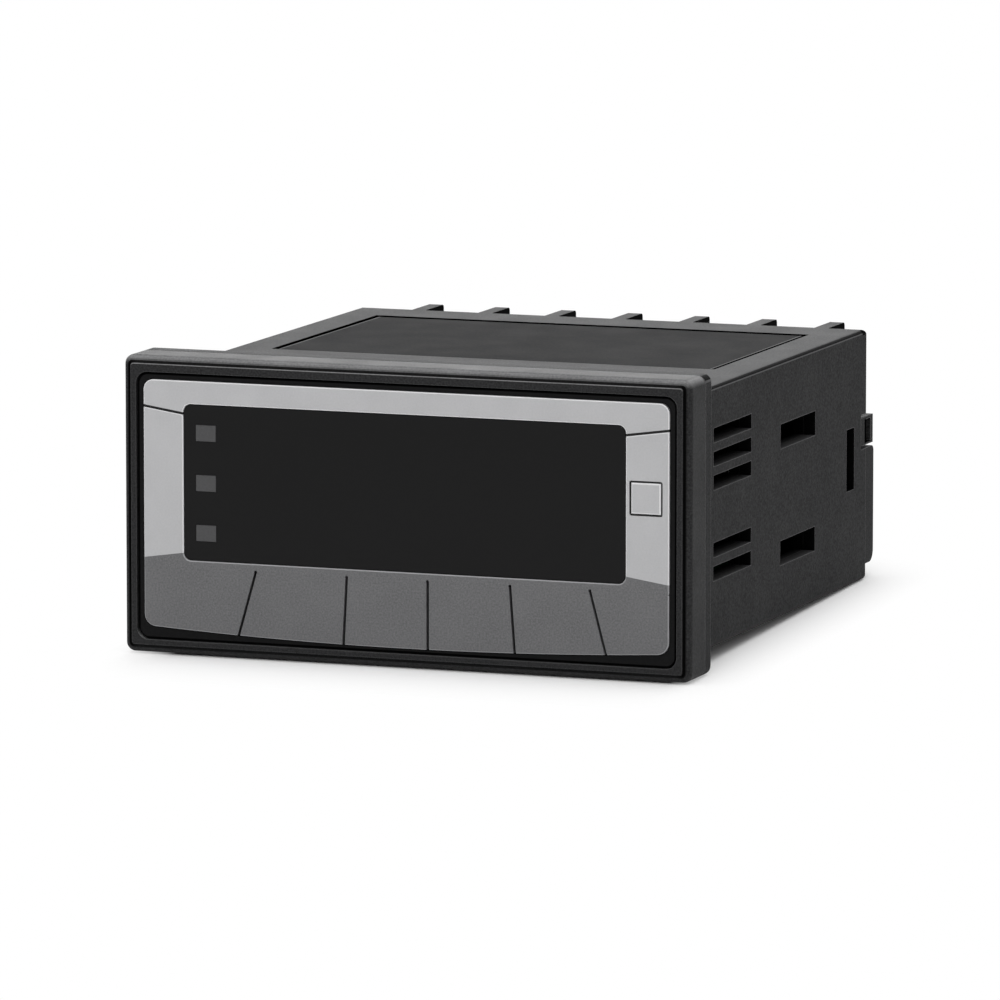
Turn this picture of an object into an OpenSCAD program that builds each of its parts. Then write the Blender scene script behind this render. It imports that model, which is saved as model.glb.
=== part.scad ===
// Digital panel meter with a 96 x 48 mm front (1/8 DIN), six flap keys and a plug-in rear.
// Frame: the origin is the centre of the panel cut-out on the rear face of the flange.
// The front faces -Y, the case runs back along +Y and +Z is up. All lengths are in millimetres.

/* [Front] */
// Width of the front
front_w = 96; // [84:1:120]
// Height of the front
front_h = 48; // [43:0.5:60]
// Depth of the front frame, ahead of the case flange
frame_d = 7; // [7:0.5:9]
// Thickness of the case flange
flange_t = 3; // [2.5:0.5:5]
// Radius of the four corners of the front outline
corner_r = 1.5; // [1.3:0.1:3]
// Radius of the rounding round the front edge
edge_r = 1.1; // [0.5:0.1:1.2]
// Height of the step from the rounded edge up to the frame's face
step_h = 0.25; // [0.1:0.05:0.4]
// Width of the ledge below that step
step_w = 0.15; // [0.1:0.05:0.25]
// Width of the frame beside the inner panel
frame_side = 2.25; // [2:0.05:3]
// Width of the frame above the inner panel
frame_top = 2.6; // [2:0.05:3]
// Width of the frame below the inner panel
frame_foot = 2.15; // [2:0.05:3]
// Gap between the frame and the inner panel, all round
groove_w = 0.3; // [0.2:0.05:0.5]
// Radius of the inner panel's corners
panel_r = 1.6; // [1:0.1:3]
// Depth from the front of the frame to the inner panel
panel_recess = 0.4; // [0.2:0.1:0.6]
// Thickness of the inner panel
panel_t = 3.2; // [3:0.1:4]
// How far the frame's rear lip reaches in behind the inner panel
lip_w = 1.75; // [1:0.25:2]

/* [Fascia] */
// Border of the inner panel left bare beside the fascia
border_side = 1; // [0.6:0.1:2]
// Border of the inner panel left bare above the fascia
border_top = 0.9; // [0.6:0.1:2]
// Border of the inner panel left bare below the middle of the fascia
border_foot = 0.6; // [0.4:0.1:1.5]
// Thickness of the fascia and of the key flaps
fascia_t = 1.2; // [0.8:0.1:1.4]
// Radius of the fascia's upper corners
fascia_top_r = 1.6; // [0.8:0.1:3]
// Radius of the fascia's lower corners
fascia_foot_r = 2; // [0.8:0.1:3]
// Drop of the fascia's curved lower edge, from its corners to its middle
foot_drop = 1.3; // [0.8:0.1:2]
// Clearance round the fascia, the window and the keys
fit_gap = 0.12; // [0.1:0.01:0.2]
// Bevel round the fascia's face and round the window's opening
bevel = 0.15; // [0.05:0.05:0.3]
// Width of the engraved lines beside the window
line_w = 0.32; // [0.1:0.02:0.4]
// Depth of the engraved lines
line_depth = 0.12; // [0.05:0.01:0.2]
// Fall of each engraved line towards the window
line_fall = 1.1; // [0.5:0.1:2]
// Distance from the fascia's top edge to the outer end of the engraved lines
line_drop = 4; // [3:0.1:6]

/* [Window] */
// Fascia to the left of the window
window_left = 6.9; // [6:0.1:9]
// Fascia to the right of the window
window_right = 7.3; // [6.8:0.1:9]
// Fascia above the window
window_top = 3.8; // [3:0.1:5]
// Radius of the window's corners
window_r = 1.2; // [0.5:0.1:2]
// How far the window lies below the face of the fascia
window_recess = 0.15; // [0.1:0.05:0.3]
// Ledge of the inner panel that carries the window
window_ledge = 1; // [0.8:0.1:1.5]
// Width of an annunciator lens
lens_w = 3.5; // [2:0.1:4]
// Height of an annunciator lens
lens_h = 2.7; // [2:0.1:4]
// Distance from the window's left edge to the middle of the lenses
lens_inset = 3.75; // [3:0.05:5]
// Distance from the window's top edge to the middle of the first lens
lens_drop = 4.5; // [3:0.1:6]
// Distance from the window's lower edge to the middle of the last lens
lens_rise = 4.4; // [3:0.1:6]
// Side of the square badge's recess
badge_well = 5.6; // [4:0.1:6]
// Width of the dark gap round the badge
badge_gap = 0.35; // [0.2:0.05:0.6]
// Depth of the badge's recess
badge_depth = 0.4; // [0.2:0.05:0.6]
// Distance from the fascia's right edge to the middle of the badge
badge_inset = 3.85; // [3.2:0.05:3.9]
// Distance from the fascia's top edge to the middle of the badge
badge_drop = 15.15; // [10:0.05:20]

/* [Keys] */
// Height of the keys, from the hinge line to the middle of the fascia's foot
key_h = 10.9; // [10:0.1:14]
// Distance from the window's lower edge to the hinge line of the keys
hinge_drop = 1.45; // [1:0.05:2]
// Width of the slots between the keys
slot_w = 0.5; // [0.4:0.05:0.8]
// Hinge gap between the fascia and a key
hinge_gap = 0.1; // [0.08:0.01:0.15]
// Depth behind a key that it swings into
key_well = 0.7; // [0.6:0.1:1]
// Distance from the hinge line to the middle of the plungers
plunger_drop = 5.6; // [4.5:0.05:6.5]
// Diameter of a key's plunger
plunger_d = 3; // [2:0.1:3.4]
// Diameter of the hole that a plunger runs in
plunger_hole = 3.9; // [3.8:0.1:5]
// Side of a key switch
switch_w = 6; // [5:0.5:6.5]
// Height of a key switch's body
switch_h = 3.2; // [2.5:0.1:3.4]
// Diameter of a switch's button
button_d = 3.4; // [2.5:0.1:3.6]
// Diameter of the hole that the button runs in
button_hole = 4.1; // [4:0.1:4.6]
// How far the button stands out of its switch
button_rise = 0.8; // [0.6:0.1:1]
// How far the button reaches into its switch
button_reach = 1; // [0.6:0.1:1.5]

/* [Case] */
// Width of the flange beside the case
flange_side = 3; // [2.5:0.1:5]
// Width of the flange above the case
flange_top = 3.36; // [2.5:0.02:5]
// Width of the flange below the case
flange_foot = 2.64; // [2.5:0.02:5]
// Depth of the case behind the flange
case_d = 88; // [84:1:140]
// Thickness of the case's walls
wall = 2; // [1.6:0.1:2.4]
// Radius of the case's long edges
case_r = 0.8; // [0.5:0.1:1.5]
// Radius of the case's rear corners, seen from the side
rear_r = 1; // [0.5:0.1:2]
// Length of the recess on top of the case
recess_d = 47.5; // [30:0.5:50]
// Distance from the flange to the recess
recess_y = 30; // [15:0.5:32]
// Case top left bare beside the recess
recess_side = 6.9; // [4:0.1:15]
// Depth of the recess
recess_depth = 0.6; // [0.4:0.1:0.8]
// Depth of the label's face below the case top
label_drop = 0.12; // [0.06:0.02:0.2]
// Border of the recess left round the label
label_gap = 0.7; // [0.2:0.1:1]
// Width of the fingers along the rear top edge
finger_w = 2.4; // [1.5:0.1:4]
// Length of the fingers
finger_d = 8; // [4:0.5:12]
// Spacing of the fingers
finger_pitch = 11.93; // [9:0.01:12]
// Number of fingers
fingers = 7; // [3:1:7]
// Shift of the row of fingers to the right of the middle
finger_shift = 1.59; // [0:0.01:3]
// Length of the vents
vent_d = 18.7; // [10:0.1:25]
// Height of one vent
vent_h = 2.35; // [1.5:0.05:3]
// Distance from the flange to the vents
vent_y = 9.9; // [8:0.1:12]
// Spacing of the vents
vent_pitch = 3.8; // [3.3:0.05:4]
// Length of the slots for the mounting clips
clip_d = 17.9; // [10:0.1:20]
// Height of the clip slots
clip_h = 4; // [3:0.1:5]
// Distance from the flange to the clip slots
clip_y = 43.3; // [38:0.1:50]
// Length of the latch slots near the rear, along the case
latch_d = 4.1; // [3:0.1:6]
// Height of the latch slots
latch_h = 10.3; // [6:0.1:12]
// Distance from the latch slots to the rear of the case
latch_back = 6.2; // [6:0.1:8]
// Length of the side lugs behind the case
lug_d = 4.6; // [3:0.1:8]
// Height of the side lugs
lug_h = 19.5; // [10:0.5:20]
// Distance from the bottom of the case to the side lugs
lug_rise = 2.6; // [2.5:0.1:4]

/* [Inside] */
// Thickness of the circuit boards
board_t = 1.6; // [1:0.1:2]
// Height of the main board's top above the inside of the case
board_rise = 4.76; // [4:0.02:5]
// Clearance of a board, plate or plug in its opening
board_gap = 0.2; // [0.1:0.05:0.3]
// Number of digit modules
digits = 5; // [3:1:6]
// Depth of a digit module
digit_d = 6; // [5:0.1:7]
// Gap between neighbouring digit modules
digit_space = 0.3; // [0.1:0.05:1]
// Gap between the window and the digit modules
digit_gap = 0.6; // [0.3:0.1:1]
// Distance from the window's upper and lower edges to the digit modules
digit_margin = 3; // [2:0.1:5]
// Distance from the middle of the lenses to the first digit module
digit_start = 4.6; // [2.5:0.1:6]
// Distance from the last digit module to the window's right edge
digit_end = 2.85; // [2:0.05:5]
// Thickness of the guide ribs that hold the main board
rib_t = 1.2; // [0.8:0.1:1.5]
// Width of the guide ribs
rib_w = 1.6; // [1:0.1:3]
// Width of the transformer's core
core_w = 30; // [24:1:34]
// Height of the transformer's core
core_h = 25; // [20:1:30]
// Thickness of the transformer's stack
core_t = 14; // [10:1:18]
// Width of the core's outer legs, and half the width of its middle leg
core_leg = 5; // [4:0.5:6]
// How far the winding stands out of the stack
coil_t = 5; // [3:0.5:7]
// Diameter of a capacitor
capacitor_d = 12.5; // [8:0.5:14]
// Height of a capacitor
capacitor_h = 20; // [12:1:25]
// Width of a relay
relay_w = 10; // [7:0.5:12]
// Length of a relay
relay_d = 16; // [12:1:20]
// Height of a relay
relay_h = 15.5; // [10:0.5:18]
// Side of the microcontroller
chip_w = 10; // [7:0.5:14]
// Height of the microcontroller
chip_h = 1.6; // [1:0.1:2]

/* [Rear] */
// Thickness of the rear carrier's plate
plate_t = 2.6; // [2:0.1:3]
// How far the carrier's plate lies inside the rear of the case
plate_in = 1; // [0.5:0.1:2]
// Spacing of the signal poles
signal_pitch = 5.08; // [4.6:0.01:7.62]
// Spacing of the power poles
power_pitch = 7.62; // [5.08:0.01:10.16]
// Height of the plugs
plug_h = 12; // [11.5:0.1:13]
// Length of the plugs
plug_d = 13.7; // [13:0.1:16]
// How far the plugs stand out behind the case
plug_out = 6; // [4:0.5:8]
// Diameter of a wire entry
wire_d = 3.6; // [3:0.1:3.8]

/* [Hidden] */
$fn = 48;

// Planes of the front, from front to back
front_y = -(frame_d + flange_t);
flange_y = -flange_t;
panel_y = front_y + panel_recess;
floor_y = front_y + fascia_t;
well_y = floor_y + key_well;
lip_y = panel_y + panel_t;
display_y = floor_y + digit_gap + digit_d;

// Case walls, seen from the front
case_x = front_w / 2 - flange_side;
case_top = front_h / 2 - flange_top;
case_foot = -front_h / 2 + flange_foot;
inner_x = case_x - wall;
inner_top = case_top - wall;
inner_foot = case_foot + wall;

// Hooks of the frame: they reach into the case and catch in its side walls
hook_t = 1.2;
hook_w = 8;
hook_d = 6;
hook_root = 1.5;
hook_catch = 0.7;
hook_zs = [case_top - 2.6 - hook_w, case_foot + 5.4 + hook_w];

// Outline of the inner panel, between the frame's inner edges
panel_x = front_w / 2 - frame_side - groove_w;
panel_top = front_h / 2 - frame_top - groove_w;
panel_foot = -front_h / 2 + frame_foot + groove_w;

// Outline of the fascia and the circle of its lower edge
fascia_x = panel_x - border_side;
fascia_top = panel_top - border_top;
fascia_foot = panel_foot + border_foot;
foot_half = fascia_x - fascia_foot_r;
foot_radius = (foot_half * foot_half + foot_drop * foot_drop) / (2 * foot_drop);
foot_angle = asin(foot_half / foot_radius);

// Window, lenses and badge
window_x0 = -fascia_x + window_left;
window_x1 = fascia_x - window_right;
window_z1 = fascia_top - window_top;
window_z0 = fascia_foot + key_h + hinge_drop;
window_y = front_y + window_recess;
lens_x = window_x0 + lens_inset;
lens_pitch = (window_z1 - window_z0 - lens_drop - lens_rise) / 2;
led_h = 1.1;
badge_x = fascia_x - badge_inset;
badge_z = fascia_top - badge_drop;

// Keys: the hinge line and, for each slot, its place at the hinge line and at the foot of the
// fascia as a share of the fascia's half width; the first and last are the fascia's own sides
hinge_z = fascia_foot + key_h;
slot_heads = [-1, -0.569, -0.219, 0.09, 0.4027, 0.704, 1];
slot_feet = [-1, -0.639, -0.232, 0.09, 0.4207, 0.7694, 1];
keys = len(slot_heads) - 1;

// Display board and what stands on it
display_x = inner_x - hook_t - 3 * board_gap;
display_foot = inner_foot + 0.4;
display_top = inner_top - 0.3;
switch_x = display_x - switch_w / 2 - 0.3;
plunger_z = max(hinge_z - plunger_drop, display_foot + switch_w / 2 + 0.3);
button_y = display_y - switch_h - button_rise;
boss_d = 5;
boss_x = display_x - boss_d / 2 - 0.7;
boss_zs = [display_top - boss_d / 2 + 0.16, hinge_z + 0.55];
screw_d = 2.2;
screw_head = 1.5;
screw_reach = 3.5;
screw_slot = 0.6;
digits_x0 = lens_x + digit_start;
digit_pitch = (window_x1 - digit_end - digits_x0) / digits;

// Side lugs, the notch over each and the latch slot ahead of it
lug_foot = case_foot + lug_rise;
lug_top = lug_foot + lug_h;
lug_corner = 2;
lug_inset = 0.15;
notch_h = 5.8;
notch_d = 2.6;
notch_gap = 0.45;
latch_y = case_d - latch_back - latch_d;
latch_z = lug_top - 0.9;

// Upper edges of the vents and of the clip slots in a side wall
vent_tops = [for (i = [0:2]) case_top - 6.74 - i * vent_pitch,
    for (i = [0:1]) case_top - 25.14 - i * vent_pitch];
clip_tops = [case_top - 10.34, case_top - 29.44];

// Main board and what stands on it
main_top = inner_foot + board_rise;
main_foot = main_top - board_t;
main_x = inner_x - board_gap - 0.1;
main_y0 = display_y + board_t + 1.6;
main_y1 = case_d - 8;
part_gap = 3;
connector_w = 24;
connector_h = 4.5;
connector_y1 = main_y0 + 5;
core_x = -inner_x + core_w / 2 + 2 * part_gap;
core_y = main_y0 + core_t / 2 + coil_t + 6 * part_gap;
coil_gap = 0.15;

// Rear: the plate, the plugs and the parts of one pole
plate_x = inner_x - board_gap;
plate_y1 = case_d - plate_in;
plate_y0 = plate_y1 - plate_t;
plug_y1 = case_d + plug_out;
plug_y0 = plug_y1 - plug_d;
plug_z0 = main_top - 0.9;
plug_z1 = plug_z0 + plug_h;
plug_end = 0.5;
plug_side = 3;
plugs_w = 2 * (inner_x - plug_side);
signal_poles = floor((0.54 * plugs_w - 2 * plug_end) / signal_pitch);
power_poles = floor((0.42 * plugs_w - 2 * plug_end) / power_pitch);
signal_w = signal_poles * signal_pitch + 2 * plug_end;
power_w = power_poles * power_pitch + 2 * plug_end;
signal_x = -inner_x + plug_side + signal_w / 2;
power_x = inner_x - plug_side - power_w / 2;
header_d = 7.8;
header_h = 9;
header_y1 = plug_y0 - board_gap;
pin_w = 1;
cavity_y0 = plug_y0 + 4.2;
cavity_y1 = plug_y1 - 4;
cavity_z0 = plug_z0 + 2.1;
cavity_h = 6.4;
cavity_y = (cavity_y0 + cavity_y1) / 2;
clamp_w = 3.8;
clamp_h = 5.2;
clamp_wall = 0.9;
pole_z = cavity_z0 + clamp_h / 2;
seat_z = cavity_z0 + cavity_h + 0.7;
well_d = 3.8;
clamp_screw_d = 2.3;
clamp_screw_h = 2.5;
clamp_head_h = 1.8;

// Extrudes a profile drawn in X and Z from y0 to y1
module along_y(y0, y1) {
    translate([0, y1, 0]) rotate([90, 0, 0]) linear_extrude(y1 - y0) children();
}

// Extrudes a profile drawn in Y and Z from x0 to x1
module along_x(x0, x1) {
    translate([x0, 0, 0]) rotate([90, 0, 90]) linear_extrude(x1 - x0) children();
}

// A block between two opposite corners
module block(low, high) {
    translate(low) cube(high - low);
}

// A round bar along Y from y0 to y1
module bar(d, x, z, y0, y1) {
    translate([x, y1, z]) rotate([90, 0, 0]) cylinder(d = d, h = y1 - y0);
}

// Copies to the left and the right
module both_sides() {
    children();
    mirror([1, 0, 0]) children();
}

// A rectangle with round corners, between two opposite corners
module rounded(low, high, r) {
    size = high - low;
    translate(low + [0, r]) square(size - [0, 2 * r]);
    translate(low + [r, 0]) square(size - [2 * r, 0]);
    for (x = [low.x + r, high.x - r], z = [low.y + r, high.y - r]) translate([x, z]) circle(r);
}

// Points of an arc round a centre
function arc(centre, r, from, to, steps) =
    [for (i = [0:steps], a = from + (to - from) * i / steps) centre + r * [cos(a), sin(a)]];

// Outline of the fascia, grown by a margin: straight top and sides, and a shallow curved foot
module fascia_outline(grow = 0) {
    foot_z = fascia_foot + foot_drop + fascia_foot_r;
    top_z = fascia_top - fascia_top_r;
    polygon(concat(
        arc([fascia_x - fascia_top_r, top_z], fascia_top_r + grow, 0, 90, 8),
        arc([-fascia_x + fascia_top_r, top_z], fascia_top_r + grow, 90, 180, 8),
        arc([-foot_half, foot_z], fascia_foot_r + grow, 180, 264, 8),
        arc([0, fascia_foot + foot_radius], foot_radius + grow, 270 - foot_angle,
            270 + foot_angle, 24),
        arc([foot_half, foot_z], fascia_foot_r + grow, 276, 360, 8)));
}

// The fascia's full sheet, keys included, with a bevel round its face
module fascia_sheet() {
    hull() {
        along_y(front_y, floor_y) fascia_outline(-bevel);
        along_y(front_y + bevel, floor_y) fascia_outline();
    }
}

module window_outline(grow = 0) {
    rounded([window_x0 - grow, window_z0 - grow], [window_x1 + grow, window_z1 + grow],
        window_r + grow);
}

// Place of slot i at a height: the slots fan out a little towards the foot
function slot_x(i, z) =
    fascia_x * (slot_heads[i] + (slot_feet[i] - slot_heads[i]) * (hinge_z - z)
        / (hinge_z - fascia_foot));

// Middle of key n's plunger, kept over the display board
function key_x(n) =
    let (middle = (slot_x(n - 1, plunger_z) + slot_x(n, plunger_z)) / 2)
    min(max(middle, -switch_x), switch_x);

// Snap hook on the frame's right side
module frame_hook(z) {
    x = inner_x - board_gap / 2 - hook_t;
    z0 = z - hook_w / 2;
    z1 = z + hook_w / 2;
    block([x, flange_y - hook_root, z0], [x + hook_t, hook_d, z1]);
    block([x, flange_y - hook_root, z0], [front_w / 2 - frame_side, flange_y, z1]);
    block([x, hook_d - hook_root, z0], [inner_x + hook_catch, hook_d, z1]);
}

// One corner of the frame's outside, its front edge rounded, round the Z axis
module frame_corner() {
    h = frame_d - step_h;
    rotate_extrude() polygon(concat([[0, 0], [corner_r, 0]],
        arc([corner_r - edge_r, h - edge_r], edge_r, 0, 90, 6), [[0, h]]));
}

// The frame's face, one step above the rounded edge, with a small bevel round it
module frame_face() {
    x = front_w / 2 - edge_r - step_w;
    z = front_h / 2 - edge_r - step_w;
    r = corner_r / 3;
    chamfer = step_h / 2;
    hull() {
        along_y(front_y, flange_y)
            rounded([-x + chamfer, -z + chamfer], [x - chamfer, z - chamfer], r);
        along_y(front_y + chamfer, flange_y) rounded([-x, -z], [x, z], r);
    }
}

module bezel_frame() {
    x = front_w / 2 - corner_r;
    z = front_h / 2 - corner_r;
    color("#333436") {
        difference() {
            union() {
                hull() for (cx = [-x, x], cz = [-z, z])
                    translate([cx, flange_y, cz]) rotate([90, 0, 0]) frame_corner();
                frame_face();
            }
            along_y(front_y - 1, lip_y)
                rounded([-panel_x - groove_w, panel_foot - groove_w],
                    [panel_x + groove_w, panel_top + groove_w], panel_r + groove_w);
            along_y(lip_y - 1, flange_y + 1)
                rounded([-panel_x + lip_w, panel_foot + lip_w], [panel_x - lip_w, panel_top - lip_w],
                    panel_r);
        }
        for (z = hook_zs) both_sides() frame_hook(z);
    }
}

// Side view of the case, its rear corners rounded
module case_profile() {
    translate([0, case_foot]) square([case_d / 2, case_top - case_foot]);
    rounded([rear_r, case_foot], [case_d, case_top], rear_r);
}

// Side view of a lug, rounded more at its lower corner
module lug_profile() {
    y1 = case_d + lug_d;
    difference() {
        rounded([case_d - 8, lug_foot], [y1, lug_top], lug_corner / 2);
        translate([y1 - lug_corner, lug_foot]) square(lug_corner);
    }
    translate([y1 - lug_corner, lug_foot + lug_corner]) circle(lug_corner);
}

// Outline of the flange, less a margin
module flange_outline(less = 0) {
    rounded([-front_w / 2 + less, -front_h / 2 + less], [front_w / 2 - less, front_h / 2 - less],
        corner_r - less);
}

module case() {
    seam_w = 0.35;
    seam_d = 0.2;
    color("#343537") {
        difference() {
            union() {
                intersection() {
                    along_y(0, case_d)
                        rounded([-case_x, case_foot], [case_x, case_top], case_r);
                    along_x(-case_x, case_x) case_profile();
                }
                along_y(flange_y, 0) flange_outline(seam_d);
                along_y(flange_y + seam_w, 0) flange_outline();
                both_sides() along_x(inner_x, case_x - lug_inset) lug_profile();
            }
            block([-inner_x, flange_y - 1, inner_foot], [inner_x, case_d + lug_d + 1, inner_top]);
            block([-case_x + recess_side, recess_y, case_top - recess_depth],
                [case_x - recess_side, recess_y + recess_d, case_top + 1]);
            both_sides() case_side_cuts();
        }
        for (i = [0:fingers - 1])
            finger(finger_shift + (i - (fingers - 1) / 2) * finger_pitch);
        both_sides() guide_ribs();
    }
}

// Openings in one side wall, and the pockets that the frame's hooks catch in
module case_side_cuts() {
    x0 = inner_x - 1;
    x1 = case_x + 1;
    for (top = vent_tops) block([x0, vent_y, top - vent_h], [x1, vent_y + vent_d, top]);
    for (top = clip_tops) block([x0, clip_y, top - clip_h], [x1, clip_y + clip_d, top]);
    block([x0, latch_y, latch_z - latch_h / 2], [x1, latch_y + latch_d, latch_z + latch_h / 2]);
    block([x0, case_d - notch_d, lug_top], [x1, case_d + lug_d + 1, lug_top + notch_h]);
    for (z = hook_zs)
        block([x0, hook_d - hook_root - 0.3, z - hook_w / 2 - 0.3],
            [inner_x + hook_catch + 0.3, hook_d + 0.3, z + hook_w / 2 + 0.3]);
}

// One finger behind the top wall, its rear upper edge rounded
module finger(x) {
    r = 0.6;
    along_x(x - finger_w / 2, x + finger_w / 2) {
        translate([case_d - 1, inner_top]) square([finger_d + 1 - r, wall]);
        translate([case_d + finger_d - r, inner_top]) square([r, wall - r]);
        translate([case_d + finger_d - r, case_top - r]) circle(r);
    }
}

// Two ribs that hold one edge of the main board
module guide_ribs() {
    for (z = [main_foot - 0.1 - rib_t, main_top + 0.1])
        block([inner_x - rib_w, hook_d + 2, z], [inner_x + 0.5, latch_y - 4, z + rib_t]);
}

// Black panel: a pocket for the fascia, a deeper well behind the keys and bosses for the board
module inner_panel() {
    color("#232426") difference() {
        union() {
            along_y(panel_y, lip_y) rounded([-panel_x, panel_foot], [panel_x, panel_top], panel_r);
            for (x = [-boss_x, boss_x], z = boss_zs) bar(boss_d, x, z, lip_y - 0.5, display_y);
        }
        along_y(panel_y - 1, floor_y) fascia_outline(fit_gap);
        intersection() {
            along_y(floor_y - 1, well_y) fascia_outline(fit_gap);
            block([-front_w, front_y, -front_h], [front_w, well_y, hinge_z]);
        }
        along_y(floor_y - 1, lip_y + 1) window_outline(-window_ledge);
        for (n = [1:keys]) bar(plunger_hole, key_x(n), plunger_z, floor_y, lip_y + 1);
        for (x = [-boss_x, boss_x], z = boss_zs)
            bar(screw_d + 0.1, x, z, display_y - screw_reach - 0.5, display_y + 1);
    }
}

module fascia() {
    foot_z = hinge_z + hinge_gap / 2;
    color("#adadaf") difference() {
        intersection() {
            fascia_sheet();
            block([-front_w, front_y, foot_z], [front_w, floor_y, front_h]);
        }
        along_y(front_y - 1, floor_y + 1) window_outline(fit_gap);
        hull() {
            along_y(front_y - bevel, front_y) window_outline(fit_gap + bevel);
            along_y(front_y - bevel, front_y + bevel) window_outline(fit_gap);
        }
        along_y(front_y - 1, front_y + badge_depth)
            rounded([badge_x - badge_well / 2, badge_z - badge_well / 2],
                [badge_x + badge_well / 2, badge_z + badge_well / 2], 0.4);
        for (i = [1:keys - 1]) bar(slot_w, slot_x(i, hinge_z), foot_z, front_y - 1, floor_y + 1);
        engraved_line(-fascia_x, window_x0);
        engraved_line(fascia_x, window_x1);
    }
}

// A fine line from the fascia's side to the window, falling towards the window
module engraved_line(side_x, end_x) {
    z = fascia_top - line_drop;
    along_y(front_y - 1, front_y + line_depth) polygon([[side_x * 1.01, z], [end_x, z - line_fall],
        [end_x, z - line_fall - line_w], [side_x * 1.01, z - line_w]]);
}

module display_window() {
    color("#1c1d1f") difference() {
        along_y(window_y, floor_y) window_outline();
        for (n = [1:3]) lens_block(n, window_y - 1, floor_y + 1, 0);
    }
}

function lens_z(n) = window_z1 - lens_drop - (n - 1) * lens_pitch;

module lens_block(n, y0, y1, less) {
    block([lens_x - lens_w / 2 + less, y0, lens_z(n) - lens_h / 2 + less],
        [lens_x + lens_w / 2 - less, y1, lens_z(n) + lens_h / 2 - less]);
}

// Light pipe behind one annunciator square
module annunciator(n) {
    color("#48484c") lens_block(n, window_y, display_y - led_h - 0.3, 0.05);
}

module status_led(n) {
    color("white") block([lens_x - 1, display_y - led_h, lens_z(n) - 0.8],
        [lens_x + 1, display_y, lens_z(n) + 0.8]);
}

// Blank square badge with a bevelled face
module unit_badge() {
    side = badge_well - 2 * badge_gap;
    slope = badge_depth / 2;
    color("#b2b2b4") translate([badge_x, front_y + badge_depth, badge_z]) rotate([90, 0, 0]) {
        linear_extrude(badge_depth - slope) square(side, center = true);
        translate([0, 0, badge_depth - slope])
            linear_extrude(slope, scale = 1 - 2 * slope / side) square(side, center = true);
    }
}

// One flap between two slots, with the plunger on its back
module key(n) {
    foot_z = fascia_foot - 1;
    head_z = hinge_z - hinge_gap / 2;
    left = n == 1 ? -1 : slot_w / 2;
    right = n == keys ? 1 : -slot_w / 2;
    color("#6a6b70") {
        intersection() {
            fascia_sheet();
            along_y(front_y - 1, floor_y + 1) polygon([
                [slot_x(n - 1, head_z) + left, head_z], [slot_x(n, head_z) + right, head_z],
                [slot_x(n, foot_z) + right, foot_z], [slot_x(n - 1, foot_z) + left, foot_z]]);
        }
        bar(plunger_d, key_x(n), plunger_z, floor_y - 0.2, button_y);
    }
}

module switch_button(n) {
    color("#2a2a2a")
        bar(button_d, key_x(n), plunger_z, button_y, button_y + button_rise + button_reach);
}

module key_switch(n) {
    y0 = display_y - switch_h;
    color("#3a3a3c") difference() {
        block([key_x(n) - switch_w / 2, y0, plunger_z - switch_w / 2],
            [key_x(n) + switch_w / 2, display_y, plunger_z + switch_w / 2]);
        bar(button_hole, key_x(n), plunger_z, y0 - 1, y0 + button_reach + 0.6);
    }
}

module display_board() {
    color("#1f5a38") difference() {
        block([-display_x, display_y, display_foot], [display_x, display_y + board_t, display_top]);
        for (x = [-boss_x, boss_x], z = boss_zs)
            bar(screw_d + 0.4, x, z, display_y - 1, display_y + board_t + 1);
    }
}

// Four screws that hold the display board to the inner panel
module display_screws() {
    back = display_y + board_t;
    color("#b8b8b4") for (x = [-boss_x, boss_x], z = boss_zs) {
        bar(screw_d, x, z, display_y - screw_reach, back + 0.2);
        difference() {
            bar(2 * screw_d, x, z, back, back + screw_head);
            block([x - screw_d - 1, back + screw_head - screw_slot, z - screw_slot / 2],
                [x + screw_d + 1, back + screw_head + 1, z + screw_slot / 2]);
        }
    }
}

module digit(n) {
    x = digits_x0 + (n - 0.5) * digit_pitch;
    half = (digit_pitch - digit_space) / 2;
    color("#e8e8e4") block([x - half, display_y - digit_d, window_z0 + digit_margin],
        [x + half, display_y, window_z1 - digit_margin]);
}

module top_label() {
    side = recess_side + label_gap;
    color("#2b2b2d") block([-case_x + side, recess_y + label_gap, case_top - recess_depth],
        [case_x - side, recess_y + recess_d - label_gap, case_top - label_drop]);
}

module main_board() {
    color("#1f5a38") block([-main_x, main_y0, main_foot], [main_x, main_y1, main_top]);
}

// Connector between the two boards
module board_connector() {
    color("#26262a") block([-connector_w / 2, display_y + board_t, main_top],
        [connector_w / 2, connector_y1, main_top + connector_h]);
}

// Laminated core with two windows, standing on the main board
module transformer_core() {
    color("#77736b") translate([core_x, core_y, main_top])
        along_y(-core_t / 2, core_t / 2) difference() {
            translate([-core_w / 2, 0]) square([core_w, core_h]);
            for (x = [-core_w / 2 + core_leg, core_leg])
                translate([x, core_leg]) square([core_w / 2 - 2 * core_leg, core_h - 2 * core_leg]);
        }
}

// Winding round the core's middle leg
module transformer_coil() {
    x = core_w / 2 - core_leg - coil_gap;
    y = core_t / 2 + coil_t;
    hole_x = core_leg + coil_gap;
    hole_y = core_t / 2 + coil_gap;
    color("#b5602c") translate([core_x, core_y, main_top]) difference() {
        block([-x, -y, core_leg], [x, y, core_h - core_leg - coil_gap]);
        block([-hole_x, -hole_y, 0], [hole_x, hole_y, core_h]);
    }
}

module capacitor(n) {
    x = core_x + core_w / 2 - capacitor_d / 2 + n * (capacitor_d + part_gap);
    color("#25344f") translate([x, core_y, main_top]) cylinder(d = capacitor_d, h = capacitor_h);
}

module relay(n) {
    y1 = header_y1 - header_d - part_gap;
    x0 = core_x - core_w / 2 + n * (relay_w + part_gap);
    color("#d9d6c8") block([x0, y1 - relay_d, main_top], [x0 + relay_w, y1, main_top + relay_h]);
}

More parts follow.
